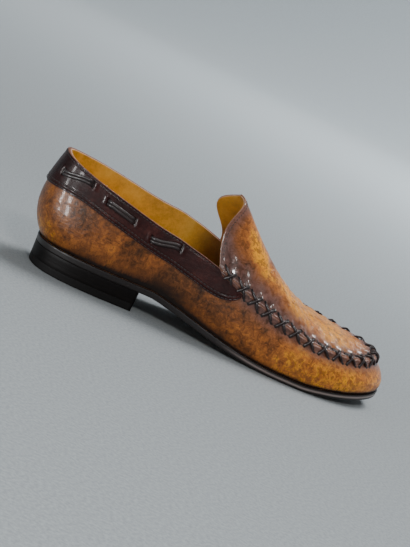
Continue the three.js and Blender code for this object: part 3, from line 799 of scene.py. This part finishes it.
def tan_finish():
    """Hand-patinated calf: amber over brown in clouds, specks and veins, burnished near seam and sole."""
    finish = Finish("tan_calf")
    clouds = finish.noise(24, 4.0, 0.6, twist=0.6)
    mottle = finish.noise(5.0, 5.0, 0.66, twist=1.1)
    specks = finish.noise(1.9, 4.0, 0.75, stretch=(1.5, 1.5, 0.5))
    veins = finish.noise(10, 2.0, 0.55, stretch=(1, 1, 1.4), twist=2.4)
    vein = 1 - (veins - 0.5).math("ABSOLUTE").between(0.0, 0.045)
    tone = finish.mark("tone")
    # On the calf this mark is the burnish by the seam and tongue; on the linings it carries painted shade
    burnish_and_shade = finish.mark("burnish_and_shade")
    dapple = (mottle - 0.5) * (tone * 1.4 + 0.7)
    depth = tone + clouds * 1.05 + dapple + specks * 0.5 - 0.76
    stops = (0.0, BURNISH), (0.2, RUSSET), (0.42, TAN), (0.65, HONEY), (0.92, AMBER), (1.0, GOLD)
    colour = finish.colours(depth, *stops)
    dots = specks.between(0.52, 0.64) * mottle.between(0.36, 0.56)
    colour = finish.mix(dots * 0.55, colour, BURNISH)
    colour = finish.mix(vein * specks.between(0.35, 0.6) * 0.45, colour, RUSSET)
    spots = finish.noise(4.2, 3.0, 0.65).between(0.5, 0.6) * tone.between(0.4, 0.75)
    colour = finish.mix(spots * 0.66, colour, finish.mix(0.5, TAN, RUSSET))
    dark = (burnish_and_shade + (mottle - 0.5) * 1.1 * burnish_and_shade.between(0.02, 0.3)).between(0.12, 0.92)
    burnish_tint = finish.colours(mottle + specks * 0.4, (0.45, BURNISH), (0.85, PLUM))
    colour = finish.mix(dark * 0.93, colour, burnish_tint)
    night = finish.mark("night")
    night = (night + (mottle + specks - 1) * 0.8 * night.between(0.02, 0.3)).between(0.08, 0.95)
    colour = finish.mix(night, colour, NIGHT)
    colour = finish.mix(finish.mark("rim"), colour, "9c6c52")
    along, across = finish.mark("along"), finish.mark("across")
    past, above = along - HOLE_ALONG, across - HOLE_ACROSS
    hole = (past * past + above * above).between(HOLE * HOLE * 1.5, HOLE * HOLE * 0.4)
    # Painted shadow: the leather darkened in a line along each thong of a cross, where the thong lies on it
    half = CROSS_LENGTH / 2
    beside = (along * CROSS_REACH - across * half) * (1 / math.hypot(CROSS_REACH, half))
    under = (beside * beside).between(3.2, 0.8) * across.between(HOLE_ACROSS + 0.6, HOLE_ACROSS)
    colour = finish.mix(under * 0.75, colour, NIGHT)
    # Painted shade: each hole the crosses go through is a near-black disc, for the shade down inside it
    colour = finish.mix(hole, colour, "050302")
    rough = 0.3 + specks * 0.14 + dark * 0.03
    return finish.done(colour, rough, pores(finish), 0.06 + clouds * 0.1 + dark * 0.55, 0.13, 0.2)


def band_finish():
    """The collar band's dark polished calf."""
    finish = Finish("dark_calf")
    clouds = finish.noise(14, 4.0, 0.6)
    fine = finish.noise(2.0, 4.0, 0.65)
    stops = (0.3, "1e0c0c"), (0.52, "3a1a19"), (0.75, "5e2e28")
    colour = finish.colours(clouds * 0.6 + fine * 0.4, *stops)
    # Painted shade: the slits are near black, for the shade down inside the cuts
    colour = finish.mix(finish.mark("slit"), colour, "060303")
    # Lighter cut edges: the edge's own colour, and a painted highlight along them
    colour = finish.mix(finish.mark("rim") * 0.8, colour, "8d6250")
    return finish.done(colour, 0.32 + fine * 0.16, pores(finish, 0.45), 0.09, 0.14, 0.1)


def lining_finish():
    """Ochre lining leather, with painted shade darkening it down inside the forepart."""
    finish = Finish("ochre_lining")
    clouds = finish.noise(18, 4.0, 0.6)
    fine = finish.noise(1.6, 4.0, 0.7)
    stops = (0.3, "a87d22"), (0.52, "dfa836"), (0.75, "f5c852")
    colour = finish.colours(clouds * 0.7 + fine * 0.3, *stops)
    # Painted shade: darker deeper inside the shoe, towards the toe
    colour = finish.mix(finish.mark("burnish_and_shade"), colour, "2c1a08")
    colour = finish.mix(finish.mark("rim") * 0.8, colour, "e0b9a0")
    height = finish.bump(finish.noise(0.9, 3.0, 0.6), 0.12)
    return finish.done(colour, 0.5 + fine * 0.16, height, 0.06, shine=0.35)


def sole_finish():
    """Sole leather, waxed dark at its edge with a painted highlight along the forepart, plain brown
    underneath.
    """
    finish = Finish("sole_leather")
    fine = finish.noise(1.4, 4.0, 0.7)
    clouds = finish.noise(22, 3.0, 0.6)
    dyed = finish.colours(fine, (0.3, "0d0807"), (0.7, "211613"))
    # Painted highlight: a lighter strip part way up the forepart's edge, where the edge catches the light
    dyed = finish.mix(finish.mark("edge_highlight") * (0.5 + clouds * 0.5), dyed, "ac9a94")
    plain = finish.colours(clouds * 0.6 + fine * 0.4, (0.3, "4a2f1c"), (0.7, "7a5433"))
    colour = finish.mix(finish.mark("under"), dyed, plain)
    height = finish.bump(finish.noise(0.7, 3.0, 0.6, stretch=(0.4, 1, 1)), 0.1)
    return finish.done(colour, 0.34 + fine * 0.2, height, 0.12, 0.25, 0.35)


def heel_finish():
    """Stacked heel leather, dyed black and waxed, its lifts just showing."""
    finish = Finish("heel_leather")
    fine = finish.noise(1.2, 4.0, 0.7, stretch=(0.3, 0.3, 1))
    layers = finish.noise(2.2, 1.0, 0.4, stretch=(0.02, 0.02, 1))
    colour = finish.colours(fine * 0.6 + layers * 0.4, (0.3, "060404"), (0.7, "140e0c"))
    height = finish.bump(layers, 0.2, finish.bump(fine, 0.08))
    return finish.done(colour, 0.42 + fine * 0.16, height, 0.02, 0.3, 0.1)


def rubber_finish():
    """The top lift's matt rubber."""
    finish = Finish("lift_rubber")
    fine = finish.noise(0.8, 3.0, 0.6)
    colour = finish.colours(fine, (0.3, "070606"), (0.75, "171413"))
    return finish.done(colour, 0.6 + fine * 0.2, finish.bump(fine, 0.06), shine=0.12)


def lace_finish():
    """Dark waxed thong."""
    finish = Finish("lace_thong")
    fine = finish.noise(1.1, 4.0, 0.7)
    colour = finish.colours(fine, (0.3, "120a0b"), (0.7, "382524"))
    height = finish.bump(finish.noise(0.6, 2.0, 0.5), 0.12)
    return finish.done(colour, 0.42 + fine * 0.14, height, 0.16, 0.18, 0.3)


def thread_finish():
    """Dark waxed sewing thread."""
    finish = Finish("thread")
    fine = finish.noise(0.4, 2.0, 0.6)
    colour = finish.colours(fine, (0.3, "120a08"), (0.7, "33201a"))
    return finish.done(colour, 0.5 + fine * 0.2)


TAN_CALF = tan_finish()
DARK_CALF = band_finish()
LINING = lining_finish()
SOLE = sole_finish()
HEEL = heel_finish()
RUBBER = rubber_finish()
THONG = lace_finish()
THREAD = thread_finish()

# The patina's tone, 0 darkest and 1 lightest: a base, and patches of it laid alike on both sides of the shoe:
# where each lies on the outer side, its radius in millimetres, and how much it adds.
BASE_TONE = 0.3
PATCHES = [
    ((-48, 12, 46), 18, 0.02),
    ((-44, 16, 22), 22, 0.42),
    ((4, 34, 25), 26, 0.1),
    ((60, 31, 12), 26, -0.14),
    ((92, 38, 20), 18, 0.06),
    ((128, 46, 24), 22, 0.08),
    ((158, 46, 12), 22, 0.26),
    ((196, 40, 16), 30, 0.42),
    ((232, 6, 22), 30, 0.4),
    ((111, 22, 74), 9, 0.9),
    ((104, 17, 86), 8, 0.6),
    ((120, 25, 66), 8, 0.6),
    ((100, 0, 92), 22, 0.2),
    ((144, 14, 56), 22, 0.6),
    ((180, 8, 44), 28, 0.48),
]


def tone_at(points):
    total = np.full(points.shape[:-1], BASE_TONE)
    outer = points * [1, 0, 1] + np.abs(points) * [0, 1, 0]
    for centre, radius, tone in PATCHES:
        away = np.linalg.norm(outer - centre, axis=-1)
        total += tone * np.exp(-((away / radius) ** 2))
    return total


def burnish_at(distance):
    """How far the leather is burnished plum, by its distance from the seam."""
    return 0.95 * np.exp(-((distance / BURNISH_REACH) ** 2))


def night_at(points):
    """How far the leather is dyed dark: low down, and at the heel's and waist's foot."""
    x, z = points[..., 0], points[..., 2]
    height = z - sole_top(x)
    line = 0.9 * np.exp(-((height / 2.2) ** 2))
    low = np.exp(-height / 8) * (0.3 + 0.62 * smooth(130, 50, x) - 0.56 * smooth(0, -36, x))
    waist = 0.22 * np.exp(-(((x - 46) / 30) ** 2)) * smooth(30, 4, height)
    return np.clip(line + low + waist, 0, 1)


def seam_marks(length, distance):
    """Where a point lies from the nearest cross along the seam, and from the seam, for painted shade at holes
    and thongs.
    """
    reach = np.where(seam_ending(length) > 0.5, distance, 99)
    return {"along": np.abs(cross_phase(length)) * CROSS_STEP, "across": reach}


# The upper
def upper_grid(count, seam_cells, wall_cells, margin):
    """Stations round the shoe and the wall's v on each: close together down the seam, then on to the foot."""
    u = RUN[0] + STATIONS * np.arange(count) / count
    near = np.linspace(margin, 3.2 * SEAM_HALF, seam_cells)
    v = below(u, np.broadcast_to(near, (count, seam_cells)))
    rest = v[:, -1:] * (1 - np.linspace(0, 1, wall_cells + 1)[1:])
    rest[:, -1] = 0.004
    return u, np.concatenate([v, rest], 1)


def build_upper():
    u, v = upper_grid(760, 22, 32, LEATHER / 2)
    places = np.broadcast_to(u[:, None], v.shape)
    face = wall(places, v)
    distance = np.linalg.norm(face - edge(u)[:, None], axis=-1)
    length = length_at(places)
    share = np.where(is_sewn(places), distance / (0.6 * SEAM_HALF), 1)
    normal = turned(places, wall_out(places, v), share)
    rise = seam_rise(length, distance) - crease_depth(face, wall, WALL_CREASES)
    outer = face + normal * rise[..., None]
    inner = face - normal * LEATHER
    sewn = seam_ending(length)
    marks = {
        "burnish_and_shade": burnish_at(np.where(sewn > 0, distance / np.maximum(sewn, 0.05), 99)),
        "tone": tone_at(face),
        "night": night_at(face),
        **seam_marks(length, distance),
    }
    add_shell("upper_leather", outer, inner, TAN_CALF, "upper", marks, side_borders)

    u, v = upper_grid(420, 12, 18, (UPPER_WALL - LEATHER) / 2)
    places = np.broadcast_to(u[:, None], v.shape)
    face, normal = wall(places, v), wall_out(places, v)
    # Painted shade on the lining, darker towards the toe inside the shoe
    marks = {"burnish_and_shade": smooth(50, 120, face[..., 0]) * 0.85}
    outer, inner = face - normal * (LEATHER + FACING), face - normal * UPPER_WALL
    add_shell("upper_lining", outer, inner, LINING, "upper", marks, side_borders)


def build_apron():
    for name, finish, slot, columns, near_rows, far_rows in (
        ("apron_leather", TAN_CALF, "tan_leather", 241, 24, 26),
        ("apron_lining", LINING, "lining_leather", 121, 10, 16),
    ):
        leather = finish is TAN_CALF
        thick = LEATHER if leather else UPPER_WALL - LEATHER - FACING
        q = np.linspace(-SEAM_SPAN, SEAM_SPAN, 2 * columns - 1)
        near = np.linspace(thick / 2, GATHER_REACH, near_rows)
        t = inside(q, np.broadcast_to(near, (len(q), near_rows)))
        t = np.concatenate([t, t[:, -1:] + (1 - t[:, -1:]) * np.linspace(0, 1, far_rows + 1)[1:]], 1)
        places = np.broadcast_to(q[:, None], t.shape)
        face = apron(places, t)
        u = seam_station(places)
        distance = np.linalg.norm(face - edge(seam_station(q))[:, None], axis=-1)
        length = length_at(u)
        normal = apron_out(places, t)
        normal[:, -1] = unit(normal[:, -1] + normal[::-1, -1])
        normal = turned(u, normal, distance / (0.6 * SEAM_HALF))
        if leather:
            # Gathers between the crosses, with a weaker second wave further in
            swell = smooth(2.5, 5.5, distance) * (1 - smooth(6.5, GATHER_REACH, distance))
            swell += 0.45 * smooth(9, 13, distance) * (1 - smooth(15, 1.8 * GATHER_REACH, distance))
            gather = -GATHER * np.cos(2 * np.pi * cross_phase(length)) * swell * seam_ending(length)
            rise = seam_rise(length, distance) + gather - crease_depth(face, apron, APRON_CREASES)
            outer, inner = face + normal * rise[..., None], face - normal * LEATHER
            spread = 0.75 - 0.3 * smooth(3, 6, np.abs(places))
            marks = {"burnish_and_shade": burnish_at(distance * spread), "tone": tone_at(face), "night": 0 * distance}
            marks |= seam_marks(length, distance)
            tongue = smooth(14, 2, np.linalg.norm(face - apron(np.sign(places) * SEAM_SPAN, t), axis=-1))
            marks["burnish_and_shade"] = np.clip(marks["burnish_and_shade"] + 0.6 * tongue, 0, 1)
        else:
            outer, inner = face - normal * (LEATHER + FACING), face - normal * UPPER_WALL
            # Painted shade on the lining, darker towards the toe inside the shoe
            marks = {"burnish_and_shade": smooth(95, 130, face[..., 0]) * 0.85}
        add_shell(name, outer, inner, finish, "apron", marks, fan_border)


build_upper()
build_apron()


# The collar band and its stitching
OUTER_START = APEX - SEAM_SPAN
INNER_START = STATIONS - APEX - INNER_SPAN


def band_edges(u):
    """Depths of the band's upper and lower edges below the topline."""
    start = np.where(u < 0, INNER_START, OUTER_START)
    past = np.maximum(np.abs(u) - start + BAND_EARLY, 0) / BAND_END
    top = 0.8 * SEAM_HALF * smooth(-0.02, 0.14, np.abs(u) - start)
    back = BAND_BACK * (1 - smooth(0, 2, np.abs(u)))
    return top, back + BAND_WIDTH * np.sqrt(np.maximum(1 - past * past, 0))


def slit_places():
    """Each place where a collar lace goes into the band: its station, its depth and its run's station."""
    found = []
    for side in (-1, 1):
        for share, slant in zip(COLLAR_LACE_PLACES, RUN_SLANTS):
            middle = topline_station(share, side)
            half = COLLAR_LACE_LENGTH / 2 / station_size(middle)
            found.append((middle - half, COLLAR_LACE_DEPTH - side * slant, middle))
            found.append((middle + half, COLLAR_LACE_DEPTH + side * slant, middle))
    return found


def station_size(u):
    """Millimetres of the top edge in one station."""
    return float(np.linalg.norm(edge(u + 0.01) - edge(u - 0.01)) / 0.02)


def topline_station(share, side):
    """The station where the topline has come this far along the sole; side is 1 for outer, -1 for inner."""
    us = np.linspace(0, APEX if side > 0 else APEX - STATIONS, 2000)
    return float(us[np.argmax((edge(us)[:, 0] - BACK) / SOLE_LENGTH >= share)])


def sink_at(depth, rows):
    """How far rows of stitches draw a surface in."""
    return sum(GROOVE * np.exp(-(((depth - row) / 0.55) ** 2)) for row in rows)


def build_band():
    tip = BAND_END * math.sqrt(1 - ((SEAM_HALF + BAND_TIP) / BAND_WIDTH) ** 2)
    tip -= BAND_EARLY
    u = np.linspace(-INNER_START - tip, OUTER_START + tip, 620)
    top, bottom = band_edges(u)
    half = BAND_THICKNESS / 2
    share = np.linspace(0, 1, 46)
    depth = (top + half)[:, None] + share * (bottom - top - 2 * half)[:, None]
    v = below(u, depth)
    places = np.broadcast_to(u[:, None], v.shape)
    face, normal = wall(places, v), wall_out(places, v)
    from_low, from_top = bottom[:, None] - depth, depth - top[:, None]
    sink = sink_at(from_low, BAND_LOW_ROWS) + sink_at(from_top, [BAND_TOP_ROW])
    slit = np.zeros(v.shape)
    swell = np.zeros(v.shape)
    for station, middle, run in slit_places():
        across = (places - station) * station_size(station)
        down = (depth - middle) / (SLIT_HEIGHT / 2)
        inside_slit = np.exp(-((across / 0.8) ** 2)) * (1 - smooth(0.75, 1.15, np.abs(down)))
        slit = np.maximum(slit, inside_slit)
        # Past each slit the band swells over the hidden lace
        way = np.sign(run - station)
        swell += 0.55 * np.exp(-(((across + way * 2.2) / 1.5) ** 2)) * (1 - smooth(0.6, 1.5, np.abs(down)))
    thickness = BAND_THICKNESS * (0.45 + 0.55 * smooth(0, 3.5, from_low))
    rise = CLEARANCE + thickness - sink - slit + swell
    outer, inner = face + normal * rise[..., None], face + normal * CLEARANCE
    # The slit mark also places the slits' painted shade
    marks = {"slit": slit}
    add_shell("collar_band", outer, inner, DARK_CALF, "collar_band", marks, whole_border)

    rows = []
    for from_edge in BAND_LOW_ROWS:
        inside_tip = bottom - top > 2 * from_edge + 1
        line, over = band_skin(u[inside_tip], bottom[inside_tip] - from_edge, -GROOVE * 0.5)
        rows.append(stitches(line, over))
    inside_tip = np.abs(u) < np.where(u < 0, INNER_START, OUTER_START) - 0.1
    line, over = band_skin(u[inside_tip], top[inside_tip] + BAND_TOP_ROW, -GROOVE * 0.5)
    rows.append(stitches(line, over))
    add_strands("collar_stitches", rows, THREAD)


def build_collar_laces():
    """Flat thong runs over the band between pairs of slits; some cross from high to low and twist."""
    for side, word in ((1, "outer"), (-1, "inner")):
        for number, (share, slant) in enumerate(zip(COLLAR_LACE_PLACES, RUN_SLANTS), 1):
            middle = topline_station(share, side)
            size = station_size(middle)
            s = np.linspace(-1, 1, 33)
            u = middle + s * COLLAR_LACE_LENGTH / 2 / size
            twist = slant * side * np.sin(s * np.pi / 2)
            dive = smooth(0.8, 1.0, np.abs(s))
            lift = 0.75 + 0.5 * (1 - s * s) - 1.9 * dive
            strands = []
            for edge_side in (-1, 1):
                line, over = band_skin(u, COLLAR_LACE_DEPTH + twist + edge_side * COLLAR_LACE_WIDTH / 4, lift)
                strands.append(thong(line, over, COLLAR_LACE_WIDTH / 4 + 0.1, 0.62))
            name = f"collar_lace_{word}_{number}"
            add_strands(name, strands, THONG, [name])


def build_crosses():
    """Round thongs crossed over the rolled seam. Each end goes down into a hole."""
    s = np.linspace(-CROSS_END, CROSS_END, 23)
    radius = LACE_WIDTH / 2 * CROSS_DRAWN
    dive = smooth(0.9, CROSS_END, np.abs(s))
    for number in range(CROSS_COUNT):
        centre = CROSS_START + number * CROSS_STEP
        strands = []
        for lean, over in ((-1, 0.0), (1, 1.0)):
            u = station_at(centre + s * lean * CROSS_LENGTH / 2)
            lift = radius + 0.1 + over * np.exp(-((s / 0.4) ** 2)) - (2 * radius + 1) * dive
            line, normal = seam_skin(u, s * CROSS_REACH, lift)
            strands.append(thong(line, normal, radius, 0.9))
        name = f"seam_cross_{number + 1:02d}"
        add_strands(name, strands, THONG, [name])


def build_tongue_stitches():
    """A row of stitches just inside the tongue's edge, up one side, over the crest and down the other."""
    t = np.linspace(0.06, 1, 60)
    q = SEAM_SPAN - TONGUE_ROW / np.linalg.norm(apron(SEAM_SPAN, 0.5) - apron(SEAM_SPAN - 1, 0.5))
    outer = apron(-q, t), apron_out(-q + 0 * t, t)
    inner = apron(q, t[::-1]), apron_out(q + 0 * t, t[::-1])
    line = np.concatenate([outer[0], inner[0][1:]])
    over = np.concatenate([outer[1], inner[1][1:]])
    add_strands("tongue_stitches", [stitches(line, over, **TONGUE_STITCH)], THREAD)


# Sole, insole and heel
class Outline:
    """A line round the shoe this far outside the wall's foot, by its sides at each place along it."""

    def __init__(self, margin):
        u = np.linspace(0, STATIONS, 961)[:-1]
        points = foot(u) + outward(foot, u) * margin
        heel, toe = points[:, 0].argmin(), points[:, 0].argmax()
        loop = np.roll(points, -heel, 0)
        toe = (toe - heel) % len(u)
        outer, inner = loop[: toe + 1], np.concatenate([loop[toe:], loop[:1]])[::-1]
        self.back, self.front = outer[0, 0], outer[-1, 0]
        self.sides = [(np.maximum.accumulate(line[:, 0]), line[:, 1]) for line in (outer, inner)]

    def at(self, x, share):
        outer, inner = (np.interp(x, xs, ys) for xs, ys in self.sides)
        return outer + (inner - outer) * share


def plate(rings, cells_along, cells_across, end=None, hollow=0.0):
    """A flat-lying piece from rings of (margin, height): the first is its top, the last its underside. It
    runs to the toe, or to a breast line at end, cut with this hollow."""
    turn = 1.0 if end is None else 0.5
    s = (1 - np.cos(np.linspace(0, np.pi * turn, cells_along + 1))) / (2 * turn)
    b = np.linspace(0, 1, cells_across + 1)
    cut = hollow * (1 - (2 * b - 1) ** 2) * (s**4)[:, None]
    grids = []
    for margin, height in rings:
        shape = Outline(margin)
        x = shape.back + s * ((shape.front if end is None else end) - shape.back)
        y = shape.at(x[:, None], b[None, :])
        grids.append(vector(x[:, None] - cut, y, height(x)[:, None]).reshape(-1, 3))
    index = np.arange(len(s) * len(b)).reshape(len(s), len(b))
    line = np.concatenate([index[:-1, 0], index[-1, :-1], index[:0:-1, -1], index[0, :0:-1]])
    sides = grids[1:-1]
    fresh = index.size + np.arange(len(sides) * len(line)).reshape(len(sides), -1)
    last = index.size + fresh.size
    cells = grid_faces(len(s), len(b), False)
    faces = [cells, ring_faces([line, *fresh, last + line]), cells[:, ::-1] + last]
    return np.concatenate([grids[0], *(grid[line] for grid in sides), grids[-1]]), faces


def raised(height, by):
    return lambda x: height(x) + by


def between(high, low, share):
    return lambda x: high(x) * (1 - share) + low(x) * share


def rounded(margin, top, bottom, radius, low_radius=None, taper=0.0, cells=4):
    """Rings of a side with round edges. top and bottom are heights by place along the shoe."""
    low_radius = low_radius or radius
    foot_margin = margin - taper
    angles = np.linspace(0, np.pi / 2, cells + 1)
    turns = [(1 - math.cos(angle), 1 - math.sin(angle)) for angle in angles]
    high, low = raised(top, -radius), raised(bottom, low_radius)
    rings = [(margin - radius * inset, top) for inset in (2.5, 1.4)]
    rings += [(margin - radius * back, raised(top, -radius * drop)) for drop, back in turns]
    rings += [(margin - taper * share, between(high, low, share)) for share in (0.2, 0.4, 0.6, 0.8)]
    for drop, back in turns[::-1]:
        rings.append((foot_margin - low_radius * back, raised(bottom, low_radius * drop)))
    return rings + [(foot_margin - low_radius * inset, bottom) for inset in (1.4, 2.5)]


def build_bottom():
    rings = rounded(SOLE_MARGIN, sole_top, underside, 0.5, 0.9, EDGE_BEVEL / 2)
    points, faces = plate(rings, 150, 12)
    height = points[:, 2] - underside(points[:, 0])
    shape = Outline(SOLE_MARGIN - EDGE_BEVEL / 2 - 1.6)
    x, y = points[:, 0], points[:, 1]
    low = (height < 0.05) & (y > shape.at(x, 0)) & (y < shape.at(x, 1))
    # The band of the edge's height that carries the painted highlight, along the forepart only
    edge_height = smooth(1.9, 2.4, height) * smooth(3.7, 3.2, height)
    marks = {"under": low.astype(float), "edge_highlight": edge_height * smooth(100, 140, x)}
    add_piece("outsole", points, faces, SOLE, ["outsole"], marks)

    bed = raised(sole_top, CLEARANCE)
    rings = rounded(-UPPER_WALL - 2 * CLEARANCE, raised(bed, INSOLE_THICKNESS), bed, 0.9)
    points, faces = plate(rings, 120, 10)
    # Painted shade on the insole, darker towards the toe inside the shoe
    marks = {"burnish_and_shade": smooth(60, 130, points[:, 0]) * 0.85}
    add_piece("insole", points, faces, LINING, ["insole"], marks)

    end = Outline(0).back - SOLE_MARGIN + HEEL_INSET + HEEL_LENGTH
    margin = SOLE_MARGIN - HEEL_INSET
    share = TOP_LIFT_THICKNESS / HEEL_HEIGHT
    seam = margin - HEEL_TAPER * (1 - share)
    for name, finish, slot, low, high, wide, narrow, low_round in (
        ("heel_block", HEEL, "heel_leather", TOP_LIFT_THICKNESS, HEEL_HEIGHT, margin, seam, 0.2),
        ("top_lift", RUBBER, "heel_rubber", 0.0, TOP_LIFT_THICKNESS, seam, margin - HEEL_TAPER, 0.6),
    ):
        top, bottom = raised(np.zeros_like, high), raised(np.zeros_like, low)
        rings = rounded(wide, top, bottom, 0.25, low_round, wide - narrow, 3)
        points, faces = plate(rings, 60, 16, end, BREAST_HOLLOW)
        add_piece(name, points, faces, finish, [name])


build_band()
build_collar_laces()
build_crosses()
build_tongue_stitches()
build_bottom()


# Studio: a pale floor, soft lights, and the camera at the photograph's angle to the shoe
PICTURE = (410, 547)
CAMERA_TURN, CAMERA_RISE, CAMERA_ROLL = -13.0, 14.0, 26.3  # degrees
CAMERA_AWAY = 1.101
CAMERA_TARGET = np.array([0.1008, 0.0, 0.0357])
FOCAL = 1040  # pixels
CENTRE_PIXEL = (257.5, 224.5)
FILL = 0.86  # share of the picture's width that the shoe takes


def add_camera():
    turn, rise, roll = (math.radians(angle) for angle in (CAMERA_TURN, CAMERA_RISE, CAMERA_ROLL))
    back = np.array([math.sin(turn) * math.cos(rise), -math.cos(turn) * math.cos(rise), math.sin(rise)])
    right = np.array([math.cos(turn), math.sin(turn), 0.0])
    up = np.cross(right, -back)
    right, up = math.cos(roll) * right + math.sin(roll) * up, math.cos(roll) * up - math.sin(roll) * right
    off_x = (CENTRE_PIXEL[0] - PICTURE[0] / 2) / FOCAL * CAMERA_AWAY
    off_y = (CENTRE_PIXEL[1] - PICTURE[1] / 2) / FOCAL * CAMERA_AWAY
    place = CAMERA_TARGET + CAMERA_AWAY * back - off_x * right + off_y * up
    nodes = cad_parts.values()
    corners = np.concatenate([[vertex.co for vertex in node.data.vertices] for node in nodes])
    rays = corners - place
    ahead = unit(rays.mean(0))
    for _ in range(3):
        side = unit(np.cross(ahead, up))
        level = np.cross(side, ahead)
        flat = np.stack([rays @ side, rays @ level], -1) / (rays @ ahead)[:, None]
        low, high = flat.min(0), flat.max(0)
        ahead = unit(ahead + side * (low + high)[0] / 2 + level * (low + high)[1] / 2)
    data = bpy.data.cameras.new("camera")
    width = (high - low)[0] / FILL
    data.sensor_width = 36
    data.lens = data.sensor_width / (width * PICTURE[1] / PICTURE[0])
    data.clip_start, data.clip_end = 0.05, 60
    camera = add_object("camera", data)
    pose = Matrix(np.stack([side, level, -ahead], 1).tolist()).to_4x4()
    pose.translation = Vector(place)
    camera.matrix_world = pose
    bpy.context.scene.camera = camera


def add_light(name, place, aim, size, power, colour=(1, 1, 1)):
    data = bpy.data.lights.new(name, "AREA")
    data.shape = "RECTANGLE"
    data.size, data.size_y = size
    data.energy = power
    data.color = colour
    light = add_object(name, data)
    light.location = place
    light.rotation_euler = (Vector(aim) - Vector(place)).to_track_quat("-Z", "Y").to_euler()
    return light


def add_floor():
    """A pale floor that runs up into a wall all round, far off, with no corner."""
    finish = Finish("pale_floor")
    fine = finish.noise(2.2, 2.0, 0.7)
    grey = finish.colours(fine, (0.3, "8e9497"), (0.7, "a4aaad"))
    flat, bend, high = 4.0, 3.0, 5.0
    angles = np.linspace(0, np.pi / 2, 13)
    reach = np.append(flat + bend * np.sin(angles), flat + bend)
    rise = np.append(bend * (1 - np.cos(angles)), high)
    turns = (2 * np.pi * np.arange(96) / 96)[:, None]
    points = vector(reach * np.cos(turns), reach * np.sin(turns), rise)
    rows = len(reach)
    mesh = bpy.data.meshes.new("floor")
    faces = grid_faces(len(turns), rows, True)[:, ::-1].tolist() + [[k * rows for k in range(len(turns))]]
    mesh.from_pydata(points.reshape(-1, 3).tolist(), [], faces)
    mesh.shade_smooth()
    mesh.materials.append(finish.done(grey, 0.75 + fine * 0.1, shine=0.15))
    add_object("floor", mesh)


def add_sun(direction, strength, angle):
    data = bpy.data.lights.new("sun", "SUN")
    data.energy = strength
    data.angle = math.radians(angle)
    light = add_object("sun", data)
    light.visible_glossy = False
    light.rotation_euler = Vector(direction).to_track_quat("-Z", "Y").to_euler()


def add_studio():
    add_floor()
    world = bpy.data.worlds.new("studio")
    world.use_nodes = True
    sky = world.node_tree.nodes["Background"]
    sky.inputs["Color"].default_value = (0.9, 0.92, 0.95, 1)
    sky.inputs["Strength"].default_value = 0.36
    bpy.context.scene.world = world
    aim = (0.1, 0, 0.04)
    add_sun((-0.42, -0.36, -1.0), 2.6, 30)
    add_light("softbox", (0.75, 0.75, 0.95), aim, (0.12, 0.12), 1.4, (1, 0.98, 0.95))
    add_light("front", (0.1, -1.25, 1.0), aim, (0.3, 0.2), 7.5, (1, 0.97, 0.93))
    glint = add_light("glint", (0.38, 0.25, 1.3), (0.14, 0, 0.04), (0.2, 0.2), 14)
    glint.visible_diffuse = False
    add_light("backdrop", (2.4, 1.4, 2.6), (4.5, 3.2, 0), (2, 2), 420, (0.93, 0.97, 1))
    for turn in (-124, -148):
        place = (math.cos(math.radians(turn)) - 0.04, math.sin(math.radians(turn)) - 0.03, 0.22)
        strip = add_light(f"strip_{-turn}", place, (-0.04, -0.03, 0.04), (0.12, 0.26), 11.0)
        strip.visible_diffuse = False


add_camera()
add_studio()

bpy.context.view_layer.update()
